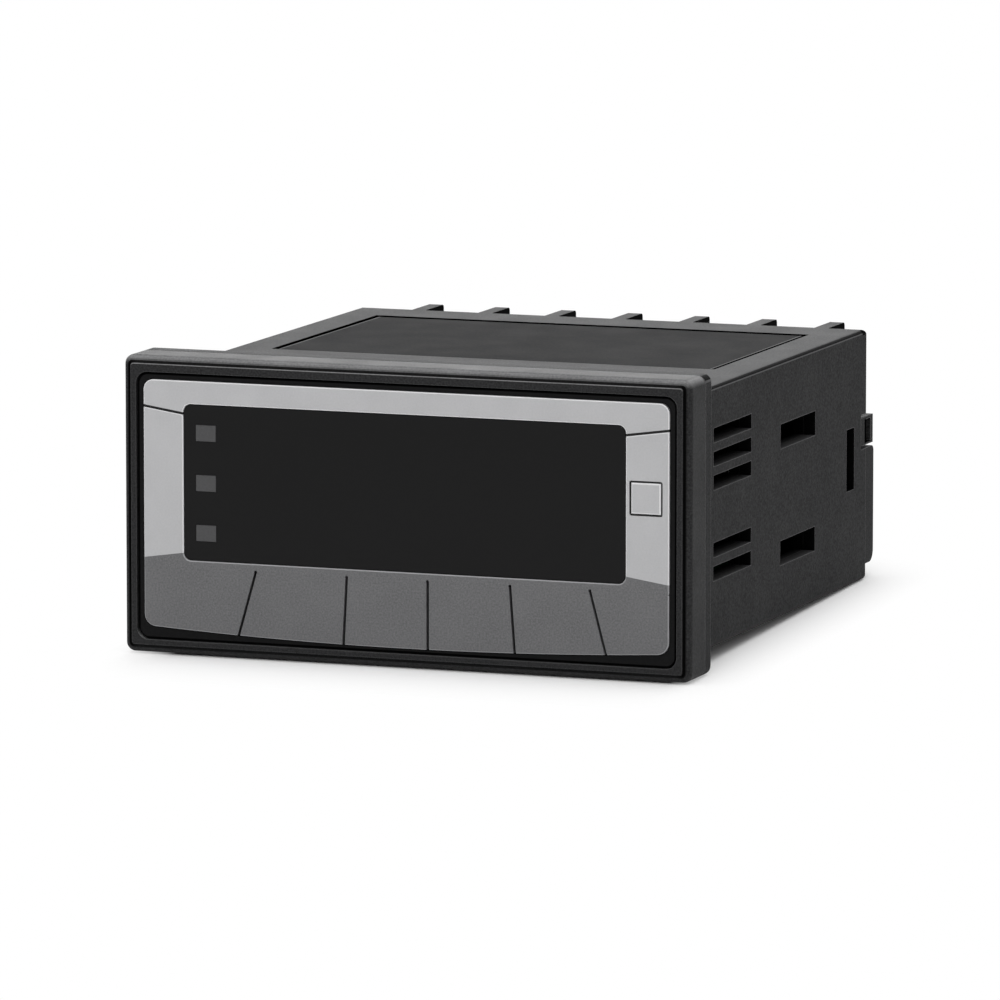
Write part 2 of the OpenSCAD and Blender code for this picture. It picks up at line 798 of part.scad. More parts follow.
module microcontroller() {
    y1 = header_y1 - header_d - part_gap;
    color("#202022") block([power_x - chip_w, y1 - chip_w, main_top], [power_x, y1, main_top + chip_h]);
}

// Plate that closes the rear, with two latch arms that catch in the case and two side hooks
module rear_carrier() {
    arm_z0 = latch_z - latch_h / 2 + 0.4;
    arm_z1 = latch_z + latch_h / 2 - 0.4;
    color("#2c2d2f") {
        difference() {
            block([-plate_x, plate_y0, inner_foot + board_gap], [plate_x, plate_y1, inner_top - board_gap]);
            plug_opening(signal_x, signal_w);
            plug_opening(power_x, power_w);
        }
        both_sides() {
            block([plate_x - 1.6, latch_y - 1, arm_z0], [plate_x, plate_y0 + 0.5, arm_z1]);
            block([plate_x - 1, latch_y + 0.4, arm_z0], [inner_x + 0.5, latch_y + latch_d - 0.4, arm_z1]);
            side_hook();
        }
    }
}

// Hook in the notch above a lug, with a pocket in its outer face
module side_hook() {
    x1 = case_x - 0.3;
    y1 = case_d + lug_d;
    z0 = lug_top + notch_gap;
    z1 = lug_top + notch_h - 0.6;
    difference() {
        block([plate_x - 1, case_d - notch_d + 0.4, z0], [x1, y1, z1]);
        block([x1 - 1.8, y1 - 3.6, z0 + 0.4], [x1 + 1, y1 - 1.1, z1 - 0.5]);
    }
}

module plug_opening(x, w) {
    block([x - w / 2 - board_gap, plate_y0 - 1, plug_z0 - board_gap],
        [x + w / 2 + board_gap, plate_y1 + 1, plug_z1 + board_gap]);
}

function pole_xs(x, poles, pitch) = [for (i = [0:poles - 1]) x + (i - (poles - 1) / 2) * pitch];

signal_xs = pole_xs(signal_x, signal_poles, signal_pitch);
power_xs = pole_xs(power_x, power_poles, power_pitch);
all_xs = concat(signal_xs, power_xs);

// Socket on the main board with one pin for each pole
module header(x, w, xs) {
    color("#2e3338")
        block([x - w / 2, header_y1 - header_d, main_top], [x + w / 2, header_y1, main_top + header_h]);
    color("#b9a46a") for (px = xs)
        block([px - pin_w / 2, header_y1 - 1, pole_z - pin_w / 2],
            [px + pin_w / 2, cavity_y0 + 4, pole_z + pin_w / 2]);
}

// Plug with, for each pole, a cavity, a pin entry, a wire entry behind and a screw well on top
module plug(x, w, xs) {
    half = clamp_w / 2 + 0.1;
    entry = pin_w / 2 + 0.3;
    color("#2b2c2e") difference() {
        block([x - w / 2, plug_y0, plug_z0], [x + w / 2, plug_y1, plug_z1]);
        for (px = xs) {
            block([px - half, cavity_y0, cavity_z0], [px + half, cavity_y1, cavity_z0 + cavity_h]);
            block([px - entry, plug_y0 - 1, pole_z - entry], [px + entry, cavity_y0 + 1, pole_z + entry]);
            bar(wire_d, px, pole_z, cavity_y1 - 1, plug_y1 + 1);
            translate([px, cavity_y, cavity_z0 + 1]) cylinder(d = clamp_screw_d + 0.5, h = plug_h);
            translate([px, cavity_y, seat_z]) cylinder(d = well_d, h = plug_h);
        }
    }
}

// Wire cages, one for each pole, standing in the plugs' cavities
module terminal_clamps() {
    top = cavity_z0 + clamp_h;
    hole = clamp_w / 2 - clamp_wall + 0.3;
    color("#c9b37a") for (px = all_xs) difference() {
        block([px - clamp_w / 2, cavity_y0 + 0.4, cavity_z0], [px + clamp_w / 2, cavity_y1 - 0.4, top]);
        block([px - hole, cavity_y0, cavity_z0 + clamp_wall], [px + hole, cavity_y1, top - clamp_wall]);
        translate([px, cavity_y, top - clamp_wall - 0.5])
            cylinder(d = clamp_screw_d + 0.3, h = clamp_wall + 1);
    }
}

// Slotted clamp screws, their heads seated in the plugs' wells
module terminal_screws() {
    top = seat_z + clamp_head_h;
    color("#b8b8b4") for (px = all_xs) {
        translate([px, cavity_y, seat_z - clamp_screw_h])
            cylinder(d = clamp_screw_d, h = clamp_screw_h + 0.2);
        difference() {
            translate([px, cavity_y, seat_z]) cylinder(d = well_d - 0.3, h = clamp_head_h);
            block([px - well_d, cavity_y - screw_slot / 2, top - screw_slot],
                [px + well_d, cavity_y + screw_slot / 2, top + 1]);
        }
    }
}

bezel_frame();
case();
inner_panel();
fascia();
display_window();
unit_badge();
annunciator(1);  // annunciator_1
annunciator(2);  // annunciator_2
annunciator(3);  // annunciator_3
key(1);  // key_1
key(2);  // key_2
key(3);  // key_3
key(4);  // key_4
key(5);  // key_5
key(6);  // key_6
switch_button(1);  // switch_button_1
switch_button(2);  // switch_button_2
switch_button(3);  // switch_button_3
switch_button(4);  // switch_button_4
switch_button(5);  // switch_button_5
switch_button(6);  // switch_button_6
key_switch(1);  // key_switch_1
key_switch(2);  // key_switch_2
key_switch(3);  // key_switch_3
key_switch(4);  // key_switch_4
key_switch(5);  // key_switch_5
key_switch(6);  // key_switch_6
display_board();
display_screws();
digit(1);  // digit_1
digit(2);  // digit_2
digit(3);  // digit_3
digit(4);  // digit_4
digit(5);  // digit_5
status_led(1);  // status_led_1
status_led(2);  // status_led_2
status_led(3);  // status_led_3
top_label();
main_board();
board_connector();
transformer_core();
transformer_coil();
capacitor(1);  // capacitor_1
capacitor(2);  // capacitor_2
relay(0);  // relay_1
relay(1);  // relay_2
microcontroller();
rear_carrier();
header(signal_x, signal_w, signal_xs);  // signal_header
header(power_x, power_w, power_xs);  // power_header
plug(signal_x, signal_w, signal_xs);  // signal_plug
plug(power_x, power_w, power_xs);  // power_plug
terminal_clamps();
terminal_screws();
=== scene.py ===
# Looks for a digital panel meter: moulded plastics, two-tone fascia, smoked window and its insides
import math
import bpy
from mathutils import Matrix, Vector


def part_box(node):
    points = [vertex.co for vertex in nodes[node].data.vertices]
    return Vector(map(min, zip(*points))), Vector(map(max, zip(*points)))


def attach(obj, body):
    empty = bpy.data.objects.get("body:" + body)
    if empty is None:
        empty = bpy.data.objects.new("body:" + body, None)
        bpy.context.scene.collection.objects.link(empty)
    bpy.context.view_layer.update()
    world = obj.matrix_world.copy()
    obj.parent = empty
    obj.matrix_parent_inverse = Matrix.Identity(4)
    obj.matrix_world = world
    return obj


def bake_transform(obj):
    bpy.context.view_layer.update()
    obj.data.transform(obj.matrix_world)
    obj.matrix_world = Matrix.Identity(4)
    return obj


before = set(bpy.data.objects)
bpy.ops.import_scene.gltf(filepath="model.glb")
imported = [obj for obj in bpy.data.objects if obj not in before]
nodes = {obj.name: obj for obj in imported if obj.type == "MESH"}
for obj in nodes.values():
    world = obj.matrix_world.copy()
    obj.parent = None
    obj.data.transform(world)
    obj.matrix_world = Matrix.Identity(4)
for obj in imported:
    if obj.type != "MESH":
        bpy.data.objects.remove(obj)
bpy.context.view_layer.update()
mm = 0.001
print("frame:", len(nodes), "nodes")


# small helpers

def clearSelection():
    bpy.ops.object.select_all(action="DESELECT")


def wire(tree, source, target):
    tree.links.new(source, target)


def makeNode(tree, kind, x=0, y=0, **settings):
    node = tree.nodes.new(kind)
    node.location = (x, y)
    for name, value in settings.items():
        setattr(node, name, value)
    return node


def mathStep(tree, operation, first, second=None, third=None, clamp=False):
    # a Math node whose inputs are sockets or plain numbers
    node = makeNode(tree, "ShaderNodeMath", operation=operation, use_clamp=clamp)
    for slot, value in enumerate((first, second, third)):
        if value is None:
            continue
        if isinstance(value, (int, float)):
            node.inputs[slot].default_value = value
        else:
            wire(tree, value, node.inputs[slot])
    return node.outputs[0]


def mixColour(tree, factor, first, second, blend="MIX"):
    node = makeNode(tree, "ShaderNodeMix", data_type="RGBA", blend_type=blend)
    for slot, value in ((0, factor), (6, first), (7, second)):
        if isinstance(value, (int, float)):
            node.inputs[slot].default_value = value
        elif isinstance(value, (tuple, list)):
            node.inputs[slot].default_value = (*value[:3], 1)
        else:
            wire(tree, value, node.inputs[slot])
    return node.outputs[2]


def remap(tree, value, low, high, toLow=0.0, toHigh=1.0):
    node = makeNode(tree, "ShaderNodeMapRange", clamp=True)
    wire(tree, value, node.inputs[0])
    for slot, number in enumerate((low, high, toLow, toHigh), 1):
        node.inputs[slot].default_value = number
    return node.outputs[0]


def startGroup(name, inputs, outputs):
    group = bpy.data.node_groups.new(name, "ShaderNodeTree")
    for label, kind, value in inputs:
        socket = group.interface.new_socket(name=label, in_out="INPUT", socket_type=kind)
        if value is not None:
            socket.default_value = value
    for label, kind in outputs:
        group.interface.new_socket(name=label, in_out="OUTPUT", socket_type=kind)
    entry = makeNode(group, "NodeGroupInput", -900, 0)
    leave = makeNode(group, "NodeGroupOutput", 600, 0)
    return group, entry, leave


def placeGroup(tree, group, **values):
    node = makeNode(tree, "ShaderNodeGroup")
    node.node_tree = group
    for name, value in values.items():
        socket = node.inputs[name]
        if isinstance(value, (int, float)):
            socket.default_value = value
        else:
            wire(tree, value, socket)
    return node


def startMaterial(name):
    material = bpy.data.materials.new(name)
    material.use_nodes = True
    tree = material.node_tree
    shader = tree.nodes["Principled BSDF"]
    place = makeNode(tree, "ShaderNodeTexCoord", -1400, 0)
    return material, tree, shader, place.outputs["Object"]


def splitAxes(tree, vector):
    split = makeNode(tree, "ShaderNodeSeparateXYZ")
    wire(tree, vector, split.inputs[0])
    return split.outputs


def surfaceAxes(tree):
    return splitAxes(tree, makeNode(tree, "ShaderNodeNewGeometry").outputs["Normal"])


def addNoise(tree, place, scale, detail=2.0):
    noise = makeNode(tree, "ShaderNodeTexNoise")
    noise.inputs["Scale"].default_value = scale
    noise.inputs["Detail"].default_value = detail
    wire(tree, place, noise.inputs["Vector"])
    return noise.outputs[0]


def addBump(tree, shader, height, strength, distance, normal=None):
    bump = makeNode(tree, "ShaderNodeBump")
    bump.inputs["Strength"].default_value = strength
    bump.inputs["Distance"].default_value = distance
    wire(tree, height, bump.inputs["Height"])
    if normal is not None:
        wire(tree, normal, bump.inputs["Normal"])
    wire(tree, bump.outputs[0], shader.inputs["Normal"])


# effects that several materials share, each a node group with its own numbers

grainLook = {
    "detail": 3, "roughness": 0.62, "cloudDetail": 4, "cloudScale": 0.05, "pitScale": 0.6,
    "fineShare": 0.75, "pitShare": 0.25, "cloudRange": (0.3, 0.7), "speckRange": (0.35, 0.65),
}


def buildMouldGrain(look):
    # fine spark-eroded mould texture with slow cloudiness from the melt's flow
    group, entry, leave = startGroup("mouldGrain",
        [("Vector", "NodeSocketVector", None), ("Scale", "NodeSocketFloat", 3000.0)],
        [("Height", "NodeSocketFloat"), ("Clouds", "NodeSocketFloat"),
         ("Specks", "NodeSocketFloat")])
    fine = makeNode(group, "ShaderNodeTexNoise")
    fine.inputs["Detail"].default_value = look["detail"]
    fine.inputs["Roughness"].default_value = look["roughness"]
    wire(group, entry.outputs["Vector"], fine.inputs["Vector"])
    wire(group, entry.outputs["Scale"], fine.inputs["Scale"])
    slow = makeNode(group, "ShaderNodeTexNoise")
    slow.inputs["Detail"].default_value = look["cloudDetail"]
    wire(group, entry.outputs["Vector"], slow.inputs["Vector"])
    cloudScale = mathStep(group, "MULTIPLY", entry.outputs["Scale"], look["cloudScale"])
    wire(group, cloudScale, slow.inputs["Scale"])
    pits = makeNode(group, "ShaderNodeTexVoronoi")
    wire(group, entry.outputs["Vector"], pits.inputs["Vector"])
    pitScale = mathStep(group, "MULTIPLY", entry.outputs["Scale"], look["pitScale"])
    wire(group, pitScale, pits.inputs["Scale"])
    height = mathStep(group, "ADD", mathStep(group, "MULTIPLY", fine.outputs[0], look["fineShare"]),
        mathStep(group, "MULTIPLY", pits.outputs["Distance"], look["pitShare"]))
    wire(group, height, leave.inputs["Height"])
    wire(group, remap(group, slow.outputs[0], *look["cloudRange"]), leave.inputs["Clouds"])
    wire(group, remap(group, fine.outputs[0], *look["speckRange"]), leave.inputs["Specks"])
    return group


def buildEdgeLight():
    # soft edges: a rounded normal along every sharp edge and a mask along them, used for a painted
    # highlight
    group, entry, leave = startGroup("edgeLight",
        [("Radius", "NodeSocketFloat", 0.0002), ("Gain", "NodeSocketFloat", 4.0)],
        [("Mask", "NodeSocketFloat"), ("Normal", "NodeSocketVector")])
    soft = makeNode(group, "ShaderNodeBevel", samples=4)
    wire(group, entry.outputs["Radius"], soft.inputs["Radius"])
    flat = makeNode(group, "ShaderNodeNewGeometry")
    dot = makeNode(group, "ShaderNodeVectorMath", operation="DOT_PRODUCT")
    wire(group, soft.outputs[0], dot.inputs[0])
    wire(group, flat.outputs["Normal"], dot.inputs[1])
    away = mathStep(group, "SUBTRACT", 1.0, dot.outputs["Value"])
    wire(group, mathStep(group, "MULTIPLY", away, entry.outputs["Gain"], clamp=True),
        leave.inputs["Mask"])
    wire(group, soft.outputs[0], leave.inputs["Normal"])
    return group


dustSheenLook = {
    "flatRange": (0.88, 0.99), "patchScale": 90, "patchDetail": 6, "patchRange": (0.35, 0.75),
    "patchAmounts": (0.64, 0.9),
}


def buildDustAndSheen(look):
    # thin settled dust and a painted sheen: most on what faces up, broken by noise
    group, entry, leave = startGroup("dustAndSheen",
        [("Vector", "NodeSocketVector", None), ("Amount", "NodeSocketFloat", 0.3),
         ("From", "NodeSocketFloat", 0.1), ("To", "NodeSocketFloat", 0.7),
         ("LessOnFlat", "NodeSocketFloat", 0.0)],
        [("Mask", "NodeSocketFloat")])
    axes = surfaceAxes(group)
    given = entry.outputs
    flat = mathStep(group, "MULTIPLY", remap(group, axes["Z"], *look["flatRange"]), given["LessOnFlat"])
    rise = mathStep(group, "DIVIDE", mathStep(group, "SUBTRACT", axes["Z"], given["From"]),
        mathStep(group, "SUBTRACT", given["To"], given["From"]), clamp=True)
    up = mathStep(group, "MULTIPLY", rise, mathStep(group, "SUBTRACT", 1.0, flat))
    patches = addNoise(group, given["Vector"], look["patchScale"], look["patchDetail"])
    spread = remap(group, patches, *look["patchRange"], *look["patchAmounts"])
    wire(group, mathStep(group, "MULTIPLY", mathStep(group, "MULTIPLY", up, spread),
        given["Amount"], clamp=True), leave.inputs["Mask"])
    return group


def buildBand():
    # 1 between two values along one axis and 0 outside them
    group, entry, leave = startGroup("band",
        [("Value", "NodeSocketFloat", 0.0), ("Low", "NodeSocketFloat", 0.0),
         ("High", "NodeSocketFloat", 1.0)],
        [("Mask", "NodeSocketFloat")])
    over = mathStep(group, "GREATER_THAN", entry.outputs["Value"], entry.outputs["Low"])
    under = mathStep(group, "LESS_THAN", entry.outputs["Value"], entry.outputs["High"])
    wire(group, mathStep(group, "MULTIPLY", over, under), leave.inputs["Mask"])
    return group


wallLook = {"power": 2.2, "skin": 0.006, "endRange": (0.6, 0.8)}


def buildWallShade(look):
    # painted shade: openings in a wall darken with depth, most on their ends, and so does a seam across
    # the wall
    group, entry, leave = startGroup("wallShade",
        [("Vector", "NodeSocketVector", None)]
        + [(label, "NodeSocketFloat", 0.0) for label in
           ("FromY", "ToY", "LowZ", "HighZ", "InnerX", "OuterX")]
        + [("Depth", "NodeSocketFloat", 0.9), ("Ends", "NodeSocketFloat", 0.9),
           ("SeamFrom", "NodeSocketFloat", 0.0), ("SeamTo", "NodeSocketFloat", 0.0),
           ("Seam", "NodeSocketFloat", 0.5)],
        [("Mask", "NodeSocketFloat")])
    given = entry.outputs
    axes = splitAxes(group, given["Vector"])
    normal = surfaceAxes(group)
    out = mathStep(group, "ABSOLUTE", axes["X"])
    along = placeGroup(group, band, Value=axes["Y"], Low=given["FromY"], High=given["ToY"])
    height = placeGroup(group, band, Value=axes["Z"], Low=given["LowZ"], High=given["HighZ"])
    region = mathStep(group, "MULTIPLY", along.outputs[0], height.outputs[0])
    inward = mathStep(group, "DIVIDE", mathStep(group, "SUBTRACT", given["OuterX"], out),
        mathStep(group, "SUBTRACT", given["OuterX"], given["InnerX"]), clamp=True)
    depth = mathStep(group, "MULTIPLY", mathStep(group, "POWER", inward, look["power"]), given["Depth"])
    hidden = mathStep(group, "GREATER_THAN", inward, look["skin"])
    ends = remap(group, mathStep(group, "ABSOLUTE", normal["Y"]), *look["endRange"])
    dark = mathStep(group, "MULTIPLY", mathStep(group, "MULTIPLY", ends, hidden), given["Ends"])
    seam = placeGroup(group, band, Value=axes["Y"], Low=given["SeamFrom"],
        High=given["SeamTo"])
    wire(group, mathStep(group, "MAXIMUM",
        mathStep(group, "MULTIPLY", mathStep(group, "MAXIMUM", depth, dark), region),
        mathStep(group, "MULTIPLY", seam.outputs[0], given["Seam"])), leave.inputs["Mask"])
    return group


def buildOutline():
    # how far a point lies outside a rounded rectangle that faces the front
    group, entry, leave = startGroup("outline",
        [("Vector", "NodeSocketVector", None), ("HalfX", "NodeSocketFloat", 0.04),
         ("HalfZ", "NodeSocketFloat", 0.02), ("MiddleZ", "NodeSocketFloat", 0.0),
         ("Radius", "NodeSocketFloat", 0.0005)],
        [("Distance", "NodeSocketFloat")])
    given = entry.outputs
    axes = splitAxes(group, given["Vector"])
    height = mathStep(group, "SUBTRACT", axes["Z"], given["MiddleZ"])
    past = []
    for value, half in ((axes["X"], "HalfX"), (height, "HalfZ")):
        start = mathStep(group, "SUBTRACT", given[half], given["Radius"])
        past.append(mathStep(group, "SUBTRACT", mathStep(group, "ABSOLUTE", value), start))
    corner = [mathStep(group, "POWER", mathStep(group, "MAXIMUM", value, 0.0), 2) for value in past]
    away = mathStep(group, "SQRT", mathStep(group, "ADD", corner[0], corner[1]))
    inside = mathStep(group, "MINIMUM", mathStep(group, "MAXIMUM", past[0], past[1]), 0.0)
    distance = mathStep(group, "SUBTRACT", mathStep(group, "ADD", away, inside), given["Radius"])
    wire(group, distance, leave.inputs["Distance"])
    return group


mouldGrain = buildMouldGrain(grainLook)
edgeLight = buildEdgeLight()
dustAndSheen = buildDustAndSheen(dustSheenLook)
band = buildBand()
wallShade = buildWallShade(wallLook)
outline = buildOutline()
print("effects: mould grain, edge light, dust fall, band, wall shade, outline")


# plastics

plasticLook = {
    "edgeGain": 4.0, "specular": 0.5, "dustSheenBreak": (0.8, 1.12), "sideRange": (0.3, 0.6),
    "roughSpread": 0.04, "grainDepth": 0.00005,
}


def mouldedPlastic(name, ownLook):
    # grain, a painted highlight on edges, settled dust with a painted sheen, then every painted shade
    # darkens colour and shine alike
    look = {**plasticLook, **ownLook}
    material, tree, shader, place = startMaterial(name)
    grain = placeGroup(tree, mouldGrain, Vector=place, Scale=look["grainScale"])
    edge = placeGroup(tree, edgeLight, Radius=look["edge"], Gain=look["edgeGain"])
    base = mixColour(tree, grain.outputs["Clouds"], look["dark"], look["light"])
    speckled = mixColour(tree, mathStep(tree, "MULTIPLY", grain.outputs["Specks"], look["specks"]),
        base, look["speck"])
    # painted highlight along every edge
    paintedTone = mixColour(tree, mathStep(tree, "MULTIPLY", edge.outputs["Mask"], look["edgeHighlight"]),
        speckled, look["highlightTone"])
    # settled dust and a painted sheen, lighter on what faces up
    if look.get("dustSheen"):
        dustSheen = placeGroup(tree, dustAndSheen, Vector=place, **look["dustSheen"])
        broken = remap(tree, grain.outputs["Specks"], 0, 1, *look["dustSheenBreak"])
        paintedTone = mixColour(tree, mathStep(tree, "MULTIPLY", dustSheen.outputs["Mask"], broken, clamp=True),
            paintedTone, look["dustSheenTone"])
    normal = surfaceAxes(tree)
    # painted highlight in a band of roundings that lean upwards
    if look.get("shine"):
        low, high, amount = look["shine"]
        shineBand = placeGroup(tree, band, Value=normal["Z"], Low=low, High=high)
        paintedTone = mixColour(tree, mathStep(tree, "MULTIPLY", shineBand.outputs[0], amount),
            paintedTone, look["highlightTone"])
    # painted highlight on the strips nearest the outer ends along x
    if look.get("highlightRimX"):
        start, amount = look["highlightRimX"]
        across = splitAxes(tree, place)
        rim = mathStep(tree, "GREATER_THAN", mathStep(tree, "ABSOLUTE", across["X"]), start)
        paintedTone = mixColour(tree, mathStep(tree, "MULTIPLY", rim, amount), paintedTone, look["highlightTone"])
    shades = []
    # painted shade on roundings that lean from top to side
    if look.get("roundingShade"):
        low, high, amount = look["roundingShade"]
        roundingBand = placeGroup(tree, band, Value=normal["Z"], Low=low, High=high)
        shades.append(mathStep(tree, "MULTIPLY", roundingBand.outputs[0], amount))
    # painted shade on faces that turn away from the given axis
    if look.get("sides"):
        axis, amount = look["sides"]
        flat = mathStep(tree, "ABSOLUTE", normal[axis])
        shades.append(remap(tree, flat, *look["sideRange"], amount, 0))
    if look.get("openings"):
        opening = placeGroup(tree, wallShade, Vector=place, **look["openings"])
        shades.append(opening.outputs["Mask"])
    # painted shade inside boxes
    shades += [boxMask(tree, place, box) for box in look.get("pockets", ())]
    if look.get("valleyShade"):
        shades.append(valleyShadeMask(tree, place, look["valleyShade"]))
    if look.get("margin"):
        shades.append(marginMask(tree, place, look["margin"]))
    # all painted shades together darken colour and shine
    bare = None
    for shade in shades:
        left = mathStep(tree, "SUBTRACT", 1.0, shade)
        bare = left if bare is None else mathStep(tree, "MULTIPLY", bare, left)
    if bare is not None:
        paintedTone = mixColour(tree, bare, look["shadeTone"], paintedTone)
    wire(tree, paintedTone, shader.inputs["Base Color"])
    wire(tree, remap(tree, grain.outputs["Clouds"], 0, 1, look["rough"] - look["roughSpread"],
        look["rough"] + look["roughSpread"]), shader.inputs["Roughness"])
    shader.inputs["Specular IOR Level"].default_value = look["specular"]
    if bare is not None:
        wire(tree, mathStep(tree, "MULTIPLY", bare, look["specular"]),
            shader.inputs["Specular IOR Level"])
    addBump(tree, shader, grain.outputs["Height"], look["bump"], look["grainDepth"],
        edge.outputs["Normal"])
    return material


caseLow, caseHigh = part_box("case")
frameLow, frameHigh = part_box("bezel_frame")
labelLow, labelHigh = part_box("top_label")
flangeSide = 3 * mm    # how far the flange stands out beside the case
sideX = (caseHigh[0] - caseLow[0]) / 2 - flangeSide
# the near black that every painted shade mixes in
paintedShadeTone = (0.0008, 0.0008, 0.0008)
# painted shade in the side openings and along the seam behind the frame
sideShade = {
    "FromY": 1 * mm, "ToY": 84 * mm, "LowZ": -19.2 * mm, "HighZ": 18.5 * mm,
    "InnerX": sideX - 3.9 * mm, "OuterX": sideX, "Depth": 0.97, "Ends": 0.92,
    "SeamFrom": -3.01 * mm, "SeamTo": -2.66 * mm, "Seam": 0.75,
}
# painted shade along the seam between the frame and the flange only
frameShade = dict(sideShade, FromY=-1, ToY=-1, SeamFrom=frameLow[1] + 0.20 * mm,
    SeamTo=frameLow[1] + 0.29 * mm, Seam=0.6)
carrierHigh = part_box("rear_carrier")[1]
labelGapShade = {    # painted shade in the gap round the label, on its walls and on the brink above them
    "low": (-1 * mm, labelLow[1] - 0.9 * mm, labelLow[2] - 0.05 * mm),
    "high": (labelHigh[0] + 0.9 * mm, labelHigh[1] + 1.1 * mm, labelHigh[2] + 0.14 * mm),
    "shade": 1.0,
}
fingerSideShade = {    # painted shade below the fingers' upper faces, behind the case's rear edge
    "low": (-1 * mm, caseHigh[1] - 10 * mm + 0.05 * mm, labelHigh[2] - 2 * mm),
    "high": (sideX, caseHigh[1] + 1 * mm, labelHigh[2] + 0.1 * mm), "shade": 0.92,
}
hookHollowShade = {    # painted shade in the hollow in the outer face of each side hook, reaching past it onto the flat face
    "low": (sideX - 2.2 * mm, carrierHigh[1] - 4.4 * mm, 1.5 * mm),
    "high": (sideX + 1 * mm, carrierHigh[1] - 1.1 * mm, 5.45 * mm), "shade": 1.0,
}
latchSillShade = {    # painted shade on the lower end of the latch's slot
    "low": (sideX - 3.9 * mm, carrierHigh[1] - 15.1 * mm, -5.5 * mm),
    "high": (sideX - 0.02 * mm, carrierHigh[1] - 10.7 * mm, -5.2 * mm), "shade": 0.95,
}
faceValleyShade = {    # painted shade in the narrow valley round the frame's raised face
    "outline": {"HalfX": frameHigh[0] - 1.25 * mm, "HalfZ": frameHigh[2] - 1.25 * mm,
        "Radius": 0.5 * mm},
    "width": 0.66 * mm, "backY": frameLow[1] + 0.66 * mm, "shade": 0.88, "topShade": 0.3,
    "corner": 1 * mm, "fade": (0.45, 1.0), "foot": -0.06,
}
panelLow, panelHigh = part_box("inner_panel")
panelMargin = {    # shadow where the panel meets the frame
    "outline": {"HalfX": panelHigh[0], "HalfZ": (panelHigh[2] - panelLow[2]) / 2,
        "MiddleZ": (panelHigh[2] + panelLow[2]) / 2, "Radius": 1.6 * mm},
    "width": 0.14 * mm, "soft": 0.05 * mm, "shade": 0.85,
}


def boxMask(tree, place, look):
    # painted shade inside a box, the same on both sides of the middle
    axes = splitAxes(tree, place)
    values = (mathStep(tree, "ABSOLUTE", axes["X"]), axes["Y"], axes["Z"])
    mask = look["shade"]
    for value, low, high in zip(values, look["low"], look["high"]):
        within = placeGroup(tree, band, Value=value, Low=low, High=high)
        mask = mathStep(tree, "MULTIPLY", within.outputs[0], mask)
    return mask


def valleyShadeMask(tree, place, look):
    # painted shade, strongest at the foot of the step and fading outwards
    axes = splitAxes(tree, place)
    away = placeGroup(tree, outline, Vector=place, **look["outline"]).outputs["Distance"]
    share = mathStep(tree, "DIVIDE", away, look["width"])
    out = mathStep(tree, "ABSOLUTE", axes["X"])
    side = look["outline"]["HalfX"]
    full = remap(tree, out, side - look["corner"], side, look["topShade"], look["shade"])
    fade = mathStep(tree, "MULTIPLY", remap(tree, share, *look["fade"], 1, 0), full)
    foot = mathStep(tree, "GREATER_THAN", share, look["foot"])
    front = mathStep(tree, "LESS_THAN", axes["Y"], look["backY"])
    return mathStep(tree, "MULTIPLY", mathStep(tree, "MULTIPLY", fade, foot), front)


def marginMask(tree, place, look):
    # everything that lies outside the outline drawn in by the width
    away = placeGroup(tree, outline, Vector=place, **look["outline"]).outputs["Distance"]
    return remap(tree, away, -look["width"] - look["soft"], -look["width"], 0, look["shade"])


casePlastic = {
    "openings": sideShade, "pockets": (labelGapShade, fingerSideShade, hookHollowShade, latchSillShade),
    "shadeTone": paintedShadeTone,
    "dark": (0.0110, 0.0110, 0.0114), "light": (0.0132, 0.0132, 0.0137),
    "speck": (0.056, 0.0562, 0.058), "specks": 0.6, "edgeHighlight": 0.85, "highlightTone": (0.20, 0.20, 0.203),
    "rough": 0.66, "bump": 0.6, "specular": 0.075,
    "grainScale": 2900.0, "edge": 0.00024, "edgeGain": 6.0,
    "dustSheen": {"Amount": 0.53, "From": 0.6, "To": 0.95}, "dustSheenTone": (0.112, 0.112, 0.115),
    "shine": (0.18, 0.42, 0.4), "roundingShade": (0.42, 0.9, 0.7),
}
bezelPlastic = {
    "openings": frameShade, "valleyShade": faceValleyShade, "shadeTone": paintedShadeTone,
    "dark": (0.0120, 0.0120, 0.0124), "light": (0.0142, 0.0142, 0.0147),
    "speck": (0.056, 0.0562, 0.058), "specks": 0.45, "edgeHighlight": 0.8, "highlightTone": (0.14, 0.14, 0.143),
    "rough": 0.55, "bump": 0.5, "specular": 0.08, "grainScale": 3200.0, "edge": 0.00016,
    "dustSheen": {"Amount": 0.78, "LessOnFlat": 0.65}, "dustSheenTone": (0.31, 0.31, 0.314),
}
panelPlastic = {
    "dark": (0.0072, 0.0072, 0.0074), "light": (0.0088, 0.0088, 0.0091),
    "speck": (0.018, 0.018, 0.0185), "specks": 0.2, "edgeHighlight": 0.35, "highlightTone": (0.04, 0.04, 0.042),
    "rough": 0.65, "bump": 0.22, "specular": 0.04,
    "sides": ("Y", 0.9), "margin": panelMargin, "shadeTone": paintedShadeTone,
    "grainScale": 3600.0, "edge": 0.0001,
}
blackPlastic = {
    "dark": (0.010, 0.010, 0.0105), "light": (0.014, 0.014, 0.0145), "speck": (0.03, 0.03, 0.03),
    "specks": 0.2, "edgeHighlight": 0.4, "highlightTone": (0.06, 0.06, 0.06), "rough": 0.42, "bump": 0.25,
    "grainScale": 3800.0, "edge": 0.00012,
}
